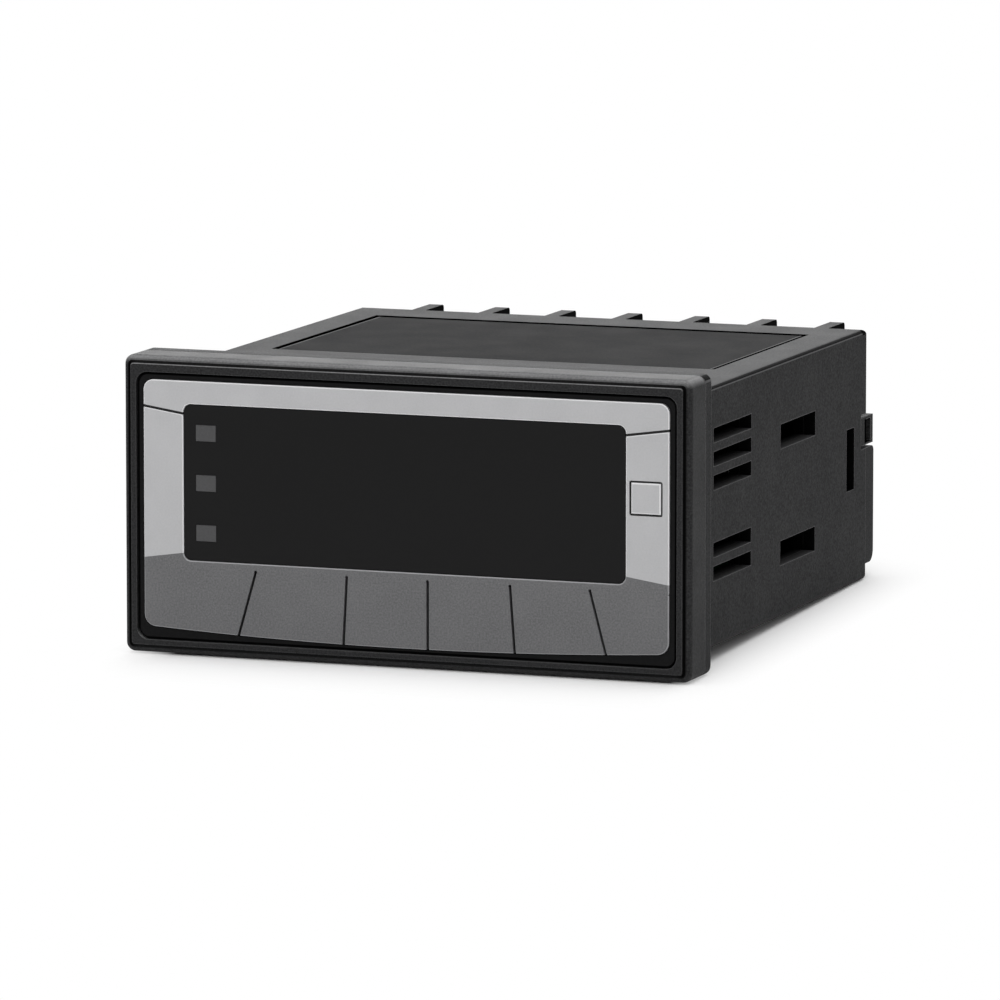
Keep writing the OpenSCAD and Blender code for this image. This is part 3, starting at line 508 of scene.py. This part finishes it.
labelFilm = {
    "dark": (0.0100, 0.0101, 0.0106), "light": (0.0122, 0.0123, 0.0129),
    "speck": (0.028, 0.028, 0.029), "specks": 0.35, "edgeHighlight": 0.9, "highlightTone": (0.14, 0.14, 0.144),
    "rough": 0.75, "bump": 0.2, "specular": 0.03,
    "grainScale": 2600.0, "edge": 0.00014, "sides": ("Z", 0.96), "shadeTone": paintedShadeTone,
    "highlightRimX": (labelHigh[0] - 0.3 * mm, 0.9),
}
plugPlastic = {
    "dark": (0.022, 0.023, 0.024), "light": (0.026, 0.027, 0.029), "speck": (0.045, 0.046, 0.048),
    "specks": 0.2, "edgeHighlight": 0.5, "highlightTone": (0.09, 0.09, 0.095), "rough": 0.42, "bump": 0.2,
    "grainScale": 3000.0, "edge": 0.0002,
}
headerPlastic = {
    "dark": (0.016, 0.018, 0.02), "light": (0.02, 0.022, 0.025), "speck": (0.04, 0.042, 0.045),
    "specks": 0.2, "edgeHighlight": 0.5, "highlightTone": (0.08, 0.08, 0.085), "rough": 0.4, "bump": 0.2,
    "grainScale": 3000.0, "edge": 0.00015,
}
creamPlastic = {
    "dark": (0.62, 0.60, 0.53), "light": (0.69, 0.67, 0.60), "speck": (0.75, 0.74, 0.70),
    "specks": 0.2, "edgeHighlight": 0.4, "highlightTone": (0.8, 0.79, 0.75), "rough": 0.38, "bump": 0.12,
    "grainScale": 2600.0, "edge": 0.0002,
}
matCase, matBezel, matPanel, matBlack, matLabel, matPlug, matHeader, matCream = (
    mouldedPlastic(name, look) for name, look in (
        ("casePlastic", casePlastic), ("bezelPlastic", bezelPlastic),
        ("panelPlastic", panelPlastic), ("blackPlastic", blackPlastic),
        ("labelFilm", labelFilm), ("plugPlastic", plugPlastic),
        ("headerPlastic", headerPlastic), ("creamPlastic", creamPlastic)))


# the front sheet: silver above, dark grey below, with a painted highlight on the bevel

fasciaLow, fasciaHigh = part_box("fascia")
windowLow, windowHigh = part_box("display_window")
frontSheet = {
    "silver": (0.40, 0.40, 0.408), "silverLight": (0.43, 0.43, 0.438),
    "grey": (0.088, 0.088, 0.091), "greyLight": (0.102, 0.102, 0.105), "fleck": (0.19, 0.19, 0.195),
    "silverFleck": (0.56, 0.56, 0.57),
    # painted highlight tones for the bevel, and near black for painted shade in sunk faces
    "rim": (0.78, 0.78, 0.79), "greyBevelHighlight": (0.33, 0.33, 0.34), "sunkShade": (0.002, 0.002, 0.002),
    # where the two tones meet, in mm, and how that line falls outwards
    "splitZ": -7.44, "splitX": 37.3, "splitFall": 0.148, "splitSoft": 0.00003,
    "grainScale": 3400.0, "bump": 0.10, "rough": 0.42, "grooveHighlight": (0.62, 0.62, 0.63),
    "silverFlecks": 0.2, "greyFlecks": 0.55, "roughSpread": 0.05, "specular": 0.4,
    "bevelRange": (0.9, 0.97), "bevelFoot": (0.00022, 0.0003), "sunkFrom": 0.00004,
    "sunkTo": 0.00008, "grainDepth": 0.00004,
    "engraving": {"leftEnd": -windowLow[0], "rightEnd": windowHigh[0],
        "sideX": fasciaHigh[0] * 1.01, "topZ": fasciaHigh[2] - 4 * mm, "fall": 1.1 * mm,
        "clear": 0.02 * mm, "darkFrom": -0.05 * mm, "darkTo": 0.36 * mm, "highlightTo": 0.52 * mm},
}
frontY = fasciaLow[1]


def engravedLine(tree, axes, look):
    # how far below the engraved line a point lies, and whether the line runs there at all
    left = mathStep(tree, "LESS_THAN", axes["X"], 0.0)
    end = mathStep(tree, "ADD", mathStep(tree, "MULTIPLY", left,
        look["leftEnd"] - look["rightEnd"]), look["rightEnd"])
    out = mathStep(tree, "SUBTRACT", mathStep(tree, "ABSOLUTE", axes["X"]), end)
    share = mathStep(tree, "DIVIDE", out, mathStep(tree, "SUBTRACT", look["sideX"], end))
    height = mathStep(tree, "ADD", mathStep(tree, "MULTIPLY", share, look["fall"]),
        look["topZ"] - look["fall"])
    within = mathStep(tree, "GREATER_THAN", out, look["clear"])
    return mathStep(tree, "SUBTRACT", height, axes["Z"]), within


def frontSkin(name, look, twoTone):
    material, tree, shader, place = startMaterial(name)
    grain = placeGroup(tree, mouldGrain, Vector=place, Scale=look["grainScale"])
    axes = splitAxes(tree, place)
    silver = mixColour(tree, grain.outputs["Clouds"], look["silver"], look["silverLight"])
    silver = mixColour(tree, mathStep(tree, "MULTIPLY", grain.outputs["Specks"],
        look["silverFlecks"]), silver, look["silverFleck"])
    grey = mixColour(tree, grain.outputs["Clouds"], look["grey"], look["greyLight"])
    grey = mixColour(tree, mathStep(tree, "MULTIPLY", grain.outputs["Specks"],
        look["greyFlecks"]), grey, look["fleck"])
    bevelHighlightTone = look["greyBevelHighlight"]
    tone = grey
    if twoTone:
        start = look["splitX"] * mm
        out = mathStep(tree, "MAXIMUM", mathStep(tree, "ABSOLUTE", axes["X"]), start)
        fall = mathStep(tree, "MULTIPLY", mathStep(tree, "SUBTRACT", out, start),
            look["splitFall"])
        border = mathStep(tree, "SUBTRACT", look["splitZ"] * mm, fall)
        over = mathStep(tree, "SUBTRACT", axes["Z"], border)
        upper = remap(tree, over, -look["splitSoft"], look["splitSoft"])
        tone = mixColour(tree, upper, grey, silver)
        bevelHighlightTone = mixColour(tree, upper, look["greyBevelHighlight"], look["rim"])
    normal = surfaceAxes(tree)
    # painted highlight on the bevel faces next to the front
    slope = remap(tree, mathStep(tree, "ABSOLUTE", normal["Y"]), *look["bevelRange"], 1, 0)
    low, high = look["bevelFoot"]
    nearFace = remap(tree, axes["Y"], frontY + low, frontY + high, 1, 0)
    tone = mixColour(tree, mathStep(tree, "MULTIPLY", slope, nearFace), tone, bevelHighlightTone)
    # painted shade on faces sunk behind the front
    sunk = remap(tree, axes["Y"], frontY + look["sunkFrom"], frontY + look["sunkTo"])
    flatFace = mathStep(tree, "SUBTRACT", 1.0, slope)
    sunkShadeMask = mathStep(tree, "MULTIPLY", sunk, flatFace)
    tone = mixColour(tree, sunkShadeMask, tone, look["sunkShade"])
    # along the engraved line, a painted shade band wider than the groove and a painted highlight below
    # it
    if twoTone:
        line = look["engraving"]
        below, within = engravedLine(tree, axes, line)
        for low, high, shown in ((line["darkFrom"], line["darkTo"], look["sunkShade"]),
                (line["darkTo"], line["highlightTo"], look["grooveHighlight"])):
            strip = placeGroup(tree, band, Value=below, Low=low, High=high).outputs[0]
            tone = mixColour(tree, mathStep(tree, "MULTIPLY", strip, within), tone, shown)
    wire(tree, tone, shader.inputs["Base Color"])
    wire(tree, remap(tree, grain.outputs["Specks"], 0, 1, look["rough"] - look["roughSpread"],
        look["rough"] + look["roughSpread"]), shader.inputs["Roughness"])
    shader.inputs["Specular IOR Level"].default_value = look["specular"]
    addBump(tree, shader, grain.outputs["Height"], look["bump"], look["grainDepth"])
    return material


matFascia = frontSkin("fasciaTwoTone", frontSheet, True)
matKey = frontSkin("keyGrey", frontSheet, False)


# window, lenses and lamps

windowLook = {
    "dark": (0.0052, 0.0051, 0.0053), "light": (0.0066, 0.0065, 0.0067), "rough": 0.3,
    "roughSpread": 0.03, "cloudScale": 60, "cloudDetail": 5, "cloudRange": (0.1, 0.9),
    "specular": 0.15, "edge": 0.0001, "edgeGain": 3.0,
}


def smokedWindow(name, look):
    material, tree, shader, place = startMaterial(name)
    clouds = addNoise(tree, place, look["cloudScale"], look["cloudDetail"])
    wire(tree, mixColour(tree, clouds, look["dark"], look["light"]), shader.inputs["Base Color"])
    wire(tree, remap(tree, clouds, *look["cloudRange"], look["rough"],
        look["rough"] + look["roughSpread"]), shader.inputs["Roughness"])
    shader.inputs["Specular IOR Level"].default_value = look["specular"]
    edge = placeGroup(tree, edgeLight, Radius=look["edge"], Gain=look["edgeGain"])
    wire(tree, edge.outputs["Normal"], shader.inputs["Normal"])
    return material


lensLook = {
    "dark": (0.044, 0.044, 0.0455), "light": (0.058, 0.058, 0.060), "rough": 0.4,
    "roughSpread": 0.1, "prismScale": 2600, "prismRange": (0, 0.6), "edge": 0.00012,
    "edgeGain": 3.0, "bump": 0.1, "prismDepth": 0.00003,
}


def greyLens(name, look):
    # diffusing lens: small prisms show as a fine cross pattern
    material, tree, shader, place = startMaterial(name)
    cells = makeNode(tree, "ShaderNodeTexVoronoi")
    cells.inputs["Scale"].default_value = look["prismScale"]
    wire(tree, place, cells.inputs["Vector"])
    prism = cells.outputs["Distance"]
    wire(tree, mixColour(tree, prism, look["dark"], look["light"]), shader.inputs["Base Color"])
    wire(tree, remap(tree, prism, *look["prismRange"], look["rough"],
        look["rough"] + look["roughSpread"]), shader.inputs["Roughness"])
    edge = placeGroup(tree, edgeLight, Radius=look["edge"], Gain=look["edgeGain"])
    addBump(tree, shader, prism, look["bump"], look["prismDepth"], edge.outputs["Normal"])
    return material


matWindow = smokedWindow("smokedWindow", windowLook)
matLens = greyLens("greyLens", lensLook)


# insides

boardLook = {
    "mask": (0.012, 0.11, 0.045), "maskDark": (0.008, 0.075, 0.03), "track": (0.03, 0.19, 0.085),
    "core": (0.45, 0.38, 0.2), "rough": (0.25, 0.4), "cloudScale": 130, "faceRange": (0.4, 0.6),
    "bump": 0.3, "trackDepth": 0.00004, "trackOffset": 0.37,
    "tracks": {"Scale": 260, "Mortar Size": 0.03, "Brick Width": 1.9, "Row Height": 0.32},
}


def circuitBoard(name, look):
    # solder mask over tracks that run along the board, and bare glass fibre at its edges
    material, tree, shader, place = startMaterial(name)
    tracks = makeNode(tree, "ShaderNodeTexBrick", offset=look["trackOffset"])
    for label, value in look["tracks"].items():
        tracks.inputs[label].default_value = value
    wire(tree, place, tracks.inputs["Vector"])
    clouds = addNoise(tree, place, look["cloudScale"])
    base = mixColour(tree, clouds, look["maskDark"], look["mask"])
    tone = mixColour(tree, tracks.outputs["Fac"], base, look["track"])
    normal = surfaceAxes(tree)
    flat = mathStep(tree, "MAXIMUM", mathStep(tree, "ABSOLUTE", normal["Y"]),
        mathStep(tree, "ABSOLUTE", normal["Z"]))
    tone = mixColour(tree, remap(tree, flat, *look["faceRange"]), look["core"], tone)
    wire(tree, tone, shader.inputs["Base Color"])
    wire(tree, remap(tree, clouds, 0, 1, *look["rough"]), shader.inputs["Roughness"])
    addBump(tree, shader, tracks.outputs["Fac"], look["bump"], look["trackDepth"])
    return material


zincLook = {"dark": (0.48, 0.47, 0.44), "light": (0.62, 0.61, 0.58), "rough": 0.34}
brassLook = {"dark": (0.55, 0.42, 0.18), "light": (0.68, 0.54, 0.26), "rough": 0.32}
drawnLines = {
    "stretch": (1, 1, 9), "scale": 1500, "detail": 4, "range": (0.3, 0.7),
    "smoother": 0.06, "rougher": 0.1, "edge": 0.0001, "edgeGain": 3.0, "bump": 0.12, "depth": 0.00003,
}


def platedMetal(name, look):
    material, tree, shader, place = startMaterial(name)
    stretch = makeNode(tree, "ShaderNodeMapping")
    stretch.inputs["Scale"].default_value = drawnLines["stretch"]
    wire(tree, place, stretch.inputs["Vector"])
    lines = addNoise(tree, stretch.outputs[0], drawnLines["scale"], drawnLines["detail"])
    wire(tree, mixColour(tree, lines, look["dark"], look["light"]), shader.inputs["Base Color"])
    wire(tree, remap(tree, lines, *drawnLines["range"], look["rough"] - drawnLines["smoother"],
        look["rough"] + drawnLines["rougher"]), shader.inputs["Roughness"])
    shader.inputs["Metallic"].default_value = 1
    edge = placeGroup(tree, edgeLight, Radius=drawnLines["edge"], Gain=drawnLines["edgeGain"])
    addBump(tree, shader, lines, drawnLines["bump"], drawnLines["depth"], edge.outputs["Normal"])
    return material


ironLook = {
    "steel": (0.14, 0.13, 0.12), "gap": (0.04, 0.036, 0.03), "sheet": 0.0005,
    "seamRange": (0.38, 0.46), "cloudScale": 420, "cloudDetail": 5, "cloudRange": (0.3, 0.7),
    "rough": (0.3, 0.55), "metallic": 0.6, "bump": 0.4, "seamDepth": 0.00008,
}


def stackedLaminations(name, look):
    # varnished steel sheets stacked along the case
    material, tree, shader, place = startMaterial(name)
    axes = splitAxes(tree, place)
    sheet = mathStep(tree, "FRACT", mathStep(tree, "DIVIDE", axes["Y"], look["sheet"]))
    seam = remap(tree, mathStep(tree, "ABSOLUTE", mathStep(tree, "SUBTRACT", sheet, 0.5)),
        *look["seamRange"])
    clouds = addNoise(tree, place, look["cloudScale"], look["cloudDetail"])
    base = mixColour(tree, clouds, look["gap"], look["steel"])
    wire(tree, mixColour(tree, seam, base, look["gap"]), shader.inputs["Base Color"])
    wire(tree, remap(tree, clouds, *look["cloudRange"], *look["rough"]),
        shader.inputs["Roughness"])
    shader.inputs["Metallic"].default_value = look["metallic"]
    addBump(tree, shader, mathStep(tree, "SUBTRACT", 1.0, seam), look["bump"], look["seamDepth"])
    return material


coilLook = {
    "wire": (0.36, 0.12, 0.03), "light": (0.5, 0.2, 0.06), "pitch": 0.00042,
    "wobbleScale": 700, "wobbleRange": (0.3, 0.7), "rough": (0.25, 0.4), "bump": 0.8,
    "wireDepth": 0.00015,
}


def woundWire(name, look):
    material, tree, shader, place = startMaterial(name)
    axes = splitAxes(tree, place)
    turn = mathStep(tree, "FRACT", mathStep(tree, "DIVIDE", axes["Z"], look["pitch"]))
    across = mathStep(tree, "SUBTRACT", mathStep(tree, "MULTIPLY", turn, 2), 1)
    rise = mathStep(tree, "SQRT", mathStep(tree, "SUBTRACT", 1.0,
        mathStep(tree, "MULTIPLY", across, across), clamp=True))
    wobble = addNoise(tree, place, look["wobbleScale"])
    # the crown of each turn is painted lighter, a painted highlight
    wire(tree, mixColour(tree, mathStep(tree, "MULTIPLY", rise, wobble), look["wire"],
        look["light"]), shader.inputs["Base Color"])
    wire(tree, remap(tree, wobble, *look["wobbleRange"], *look["rough"]),
        shader.inputs["Roughness"])
    addBump(tree, shader, rise, look["bump"], look["wireDepth"])
    return material


sleeveLook = {
    "film": (0.016, 0.03, 0.10), "light": (0.02, 0.04, 0.13), "stripe": (0.42, 0.44, 0.46),
    "top": (0.5, 0.5, 0.5), "stripeX": (0.0049, 0.0050), "canRadius": (0.0048, 0.0049),
    "canTop": (-0.0001, -0.00005), "cloudScale": 500, "cloudRange": (0.3, 0.7),
    "rough": (0.2, 0.3), "edge": 0.0006, "edgeGain": 3.0, "bump": 0.06, "depth": 0.0001,
}


def capacitorSleeve(name, look, box):
    # shrunk sleeve with its pale stripe, and the bare can at the top
    material, tree, shader, place = startMaterial(name)
    low, high = box
    centre = [(a + b) / 2 for a, b in zip(low, high)]
    shift = makeNode(tree, "ShaderNodeMapping")
    shift.inputs["Location"].default_value = (-centre[0], -centre[1], -high[2])
    wire(tree, place, shift.inputs["Vector"])
    axes = splitAxes(tree, shift.outputs[0])
    stripe = remap(tree, axes["X"], *look["stripeX"])
    radius = mathStep(tree, "SQRT", mathStep(tree, "ADD",
        mathStep(tree, "POWER", axes["X"], 2), mathStep(tree, "POWER", axes["Y"], 2)))
    top = mathStep(tree, "MULTIPLY", remap(tree, axes["Z"], *look["canTop"]),
        remap(tree, radius, *look["canRadius"], 1, 0))
    clouds = addNoise(tree, place, look["cloudScale"])
    tone = mixColour(tree, clouds, look["film"], look["light"])
    tone = mixColour(tree, stripe, tone, look["stripe"])
    tone = mixColour(tree, top, tone, look["top"])
    wire(tree, tone, shader.inputs["Base Color"])
    wire(tree, remap(tree, clouds, *look["cloudRange"], *look["rough"]),
        shader.inputs["Roughness"])
    edge = placeGroup(tree, edgeLight, Radius=look["edge"], Gain=look["edgeGain"])
    addBump(tree, shader, clouds, look["bump"], look["depth"], edge.outputs["Normal"])
    return material


matBoard = circuitBoard("circuitBoard", boardLook)
matZinc = platedMetal("zincPlate", zincLook)
matBrass = platedMetal("brassPlate", brassLook)
matIron = stackedLaminations("laminations", ironLook)
matCoil = woundWire("coilWire", coilLook)
print("materials:", len(bpy.data.materials))

finishes = {
    "bezel_frame": matBezel, "case": matCase, "rear_carrier": matCase, "inner_panel": matPanel,
    "fascia": matFascia, "unit_badge": matFascia, "display_window": matWindow, "top_label": matLabel,
    "display_board": matBoard, "main_board": matBoard, "display_screws": matZinc,
    "terminal_screws": matZinc, "terminal_clamps": matBrass, "transformer_core": matIron,
    "transformer_coil": matCoil, "signal_plug": matPlug, "power_plug": matPlug,
    "signal_header": matHeader, "power_header": matHeader, "board_connector": matBlack,
    "microcontroller": matBlack, "relay_1": matCream, "relay_2": matCream,
}
counted = (
    ("key_", 6, matKey), ("switch_button_", 6, matCream), ("key_switch_", 6, matBlack),
    ("digit_", 5, matCream), ("annunciator_", 3, matLens), ("status_led_", 3, matCream),
)
for start, count, material in counted:
    for number in range(1, count + 1):
        finishes[start + str(number)] = material
for number in (1, 2):
    name = "capacitor_%d" % number
    finishes[name] = capacitorSleeve("capacitorSleeve%d" % number, sleeveLook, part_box(name))
for name, material in finishes.items():
    for slot in nodes[name].material_slots:
        slot.material = material
missing = set(nodes) - set(finishes)
print("finished nodes:", len(finishes), "left:", sorted(missing))


# thicker edges behind the side openings

openingSleeve = {
    "depth": 1.8 * mm, "rim": 0.6 * mm, "wall": 2 * mm,
    "vents": {"starts": 9.9 * mm, "length": 18.7 * mm, "height": 2.35 * mm,
        "below": (6.74 * mm, 10.54 * mm, 14.34 * mm, 25.14 * mm, 28.94 * mm)},
    "clips": {"starts": 43.3 * mm, "length": 17.9 * mm, "height": 4 * mm,
        "below": (10.34 * mm, 29.44 * mm)},
}
caseTop = labelHigh[2] + 0.12 * mm    # the label lies this far below the case's top


def selectFaces(piece, wanted):
    bpy.ops.object.mode_set(mode="EDIT")
    bpy.ops.mesh.select_mode(type="FACE")
    bpy.ops.mesh.select_all(action="DESELECT")
    bpy.ops.object.mode_set(mode="OBJECT")
    for face in piece.data.polygons:
        face.select = wanted(face)
    bpy.ops.object.mode_set(mode="EDIT")


def makeSleeve(side, opening, below, look):
    height, length = opening["height"], opening["length"]
    centre = (side * (sideX - look["wall"] - look["depth"] / 2), opening["starts"] + length / 2,
        caseTop - below - height / 2)
    clearSelection()
    bpy.ops.mesh.primitive_cube_add(size=1, location=centre)
    sleeve = bpy.context.active_object
    bpy.ops.object.mode_set(mode="EDIT")
    bpy.ops.transform.resize(value=(look["depth"], length, height), center_override=centre)
    selectFaces(sleeve, lambda face: abs(face.normal.x) > 0.9)
    bpy.ops.mesh.delete(type="FACE")
    bpy.ops.object.mode_set(mode="OBJECT")
    bpy.ops.object.transform_apply(location=True, rotation=True, scale=True)
    shell = sleeve.modifiers.new("shell", "SOLIDIFY")
    shell.thickness = look["rim"]
    shell.offset = 1
    shell.use_even_offset = True
    bpy.ops.object.modifier_apply(modifier="shell")
    return sleeve


def makeSleeves(name, side, look):
    sleeves = [makeSleeve(side, opening, below, look)
        for opening in (look["vents"], look["clips"]) for below in opening["below"]]
    clearSelection()
    for sleeve in sleeves:
        sleeve.select_set(True)
    bpy.context.view_layer.objects.active = sleeves[0]
    bpy.ops.object.join()
    piece = bpy.context.active_object
    piece.name = name
    piece.data.materials.append(matCase)
    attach(piece, "housing")


for name, side in (("opening_sleeves_right", 1), ("opening_sleeves_left", -1)):
    makeSleeves(name, side, openingSleeve)
print("opening sleeves: both sides")


# living hinges: a thin film joins each key to the fascia

hingeFilm = {
    "height": 0.7 * mm, "thick": 0.03 * mm, "bends": 5, "clear": 0.27 * mm, "side": 0.16 * mm,
    "sunk": 0.01 * mm,
    # slots between the keys, at the hinge and at the foot, as shares of the half width
    "heads": (-1, -0.569, -0.219, 0.09, 0.4027, 0.704, 1),
    "feet": (-1, -0.639, -0.232, 0.09, 0.4207, 0.7694, 1),
}
hingeZ = (fasciaLow[2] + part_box("key_3")[1][2]) / 2


def makeHingeFilm(number):
    look = hingeFilm
    half = fasciaHigh[0]
    footZ = min(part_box("key_3")[0][2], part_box("key_4")[0][2])
    middle = (0, frontY - look["thick"] / 2 + look["sunk"], hingeZ)
    clearSelection()
    bpy.ops.mesh.primitive_cube_add(size=1, location=middle)
    film = bpy.context.active_object
    film.name = "hinge_film_%d" % number
    bpy.ops.object.mode_set(mode="EDIT")
    bpy.ops.transform.resize(value=(2 * half - 2 * look["side"], look["thick"], look["height"]),
        center_override=middle)
    for side, slot in ((-1, number - 1), (1, number)):
        if slot in (0, len(look["heads"]) - 1):
            continue
        run = (look["feet"][slot] - look["heads"][slot]) * half / (hingeZ - footZ)
        across = Vector((1, 0, run)).normalized()
        edgeX = look["heads"][slot] * half - side * look["clear"]
        bpy.ops.mesh.select_all(action="SELECT")
        bpy.ops.mesh.bisect(plane_co=(edgeX, frontY, hingeZ), plane_no=across,
            use_fill=True, clear_outer=side > 0, clear_inner=side < 0)
    for step in range(1, look["bends"] + 1):
        bpy.ops.mesh.select_all(action="SELECT")
        z = hingeZ + look["height"] * (step / (look["bends"] + 1) - 0.5)
        bpy.ops.mesh.bisect(plane_co=(0, frontY, z), plane_no=(0, 0, 1))
    bpy.ops.mesh.select_all(action="SELECT")
    bpy.ops.mesh.normals_make_consistent(inside=False)
    bpy.ops.object.mode_set(mode="OBJECT")
    bpy.ops.object.transform_apply(location=True, rotation=True, scale=True)
    film.data.materials.append(matKey)
    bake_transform(film)
    return film


films = [makeHingeFilm(number) for number in range(1, 7)]
print("hinge films:", len(films))


# set: floor, light and camera

studio = {
    "floorSize": 8.0, "floorTone": (0.93, 0.93, 0.93), "restFront": -24 * mm, "restSlope": 0.03,
    "floorSeen": (1.02, 1.02, 1.02), "sky": 0.48, "cameraWhite": 1.0,
    # painted light: a white glow fades the object's shadow from the edge of the foot
    "footMiddle": (2 * mm, 39 * mm), "footHalf": (42 * mm, 50 * mm),
    "shadowReach": (12 * mm, 21 * mm), "shadowPower": 0.8,
    # reflections find the room bright behind the part and dim in front and to the right
    "roomY": (-0.3, 0.5, 0.12, 1.0), "roomX": (-0.2, 0.35, 1.0, 0.2),
}


def makeFloor(look):
    clearSelection()
    bpy.ops.mesh.primitive_plane_add(size=look["floorSize"], location=(0, 0, look["restFront"]))
    floor = bpy.context.active_object
    floor.name = "floor"
    bpy.ops.object.mode_set(mode="EDIT")
    bpy.ops.mesh.select_all(action="SELECT")
    bpy.ops.transform.rotate(value=-math.atan(look["restSlope"]), orient_axis="X",
        center_override=(0, 0, look["restFront"]))
    bpy.ops.object.mode_set(mode="OBJECT")
    material, tree, shader, place = startMaterial("paleFloor")
    tree.nodes.remove(shader)
    path = makeNode(tree, "ShaderNodeLightPath")
    seen = mathStep(tree, "MAXIMUM", path.outputs["Is Camera Ray"],
        mathStep(tree, "MAXIMUM", path.outputs["Is Glossy Ray"], path.outputs["Is Transmission Ray"]))
    axes = splitAxes(tree, place)
    past = []
    sides = zip("XY", look["footMiddle"], look["footHalf"], look["shadowReach"])
    for axis, middle, half, reach in sides:
        off = mathStep(tree, "ABSOLUTE", mathStep(tree, "SUBTRACT", axes[axis], middle))
        outside = mathStep(tree, "MAXIMUM", mathStep(tree, "SUBTRACT", off, half), 0)
        past.append(mathStep(tree, "POWER", mathStep(tree, "DIVIDE", outside, reach), 2))
    away = mathStep(tree, "SQRT", mathStep(tree, "ADD", past[0], past[1]), clamp=True)
    fade = mathStep(tree, "POWER", away, look["shadowPower"])
    paper = makeNode(tree, "ShaderNodeBsdfDiffuse")
    wire(tree, mixColour(tree, seen, look["floorTone"], look["floorSeen"]), paper.inputs["Color"])
    # white glow: painted light over the floor's shadow near the foot, and the white backdrop further
    # out
    whiteGlow = makeNode(tree, "ShaderNodeEmission")
    mix = makeNode(tree, "ShaderNodeMixShader")
    wire(tree, mathStep(tree, "MULTIPLY", seen, fade), mix.inputs[0])
    wire(tree, paper.outputs[0], mix.inputs[1])
    wire(tree, whiteGlow.outputs[0], mix.inputs[2])
    wire(tree, mix.outputs[0], tree.nodes["Material Output"].inputs["Surface"])
    floor.data.materials.append(material)


def makeWorld(look):
    world = bpy.data.worlds.new("studio")
    world.use_nodes = True
    bpy.context.scene.world = world
    tree = world.node_tree
    background = tree.nodes["Background"]
    background.inputs["Color"].default_value = (1, 1, 1, 1)
    path = makeNode(tree, "ShaderNodeLightPath")
    direction = makeNode(tree, "ShaderNodeTexCoord")
    axes = splitAxes(tree, direction.outputs["Generated"])
    room = mathStep(tree, "MULTIPLY", remap(tree, axes["Y"], *look["roomY"]),
        remap(tree, axes["X"], *look["roomX"]))
    glossy = mathStep(tree, "MAXIMUM", path.outputs["Is Glossy Ray"],
        path.outputs["Is Transmission Ray"])
    level = mathStep(tree, "ADD", mathStep(tree, "MULTIPLY", glossy,
        mathStep(tree, "SUBTRACT", room, look["sky"])), look["sky"])
    white = mathStep(tree, "ADD", mathStep(tree, "MULTIPLY", path.outputs["Is Camera Ray"],
        mathStep(tree, "SUBTRACT", look["cameraWhite"], level)), level)
    wire(tree, white, background.inputs["Strength"])


lamps = {
    "top": {"place": (0.02, 0.0, 0.85), "aim": (0, 0.03, 0), "size": 1.2, "watts": 4.8},
    "front": {"place": (0.10, -1.05, 0.75), "aim": (0, 0, 0), "size": 0.8, "watts": 4.0},
    "left": {"place": (-1.1, -0.8, 0.55), "aim": (0, 0, 0), "size": 0.8, "watts": 2.4},
    "back": {"place": (-0.25, 1.10, 0.45), "aim": (0, 0.03, 0), "size": 0.8, "watts": 4.6},
}


def makeLamp(name, look):
    data = bpy.data.lights.new(name, "AREA")
    data.shape = "SQUARE"
    data.size = look["size"]
    data.energy = look["watts"]
    lamp = bpy.data.objects.new(name, data)
    bpy.context.scene.collection.objects.link(lamp)
    lamp.location = look["place"]
    towards = Vector(look["aim"]) - Vector(look["place"])
    lamp.rotation_euler = towards.to_track_quat("-Z", "Y").to_euler()


shot = {
    "azimuth": 20.248, "elevation": 8.111, "place": (0.5197, -1.3748, 0.2110), "lens": 335.477,
    "sensor": 36, "near": 0.01,
}


def makeCamera(look):
    az, el = math.radians(look["azimuth"]), math.radians(look["elevation"])
    back = Vector((math.sin(az) * math.cos(el), -math.cos(az) * math.cos(el), math.sin(el)))
    right = Vector((math.cos(az), math.sin(az), 0))
    up = back.cross(right)
    data = bpy.data.cameras.new("camera")
    data.lens = look["lens"]
    data.sensor_width = look["sensor"]
    data.clip_start = look["near"]
    camera = bpy.data.objects.new("camera", data)
    bpy.context.scene.collection.objects.link(camera)
    turn = Matrix((right, up, back)).transposed()
    camera.matrix_world = Matrix.Translation(look["place"]) @ turn.to_4x4()
    bpy.context.scene.camera = camera


makeFloor(studio)
makeWorld(studio)
for name, look in lamps.items():
    makeLamp(name, look)
makeCamera(shot)
bpy.context.scene.view_settings.view_transform = "Standard"
print("set: floor, world,", len(lamps), "lamps and camera")
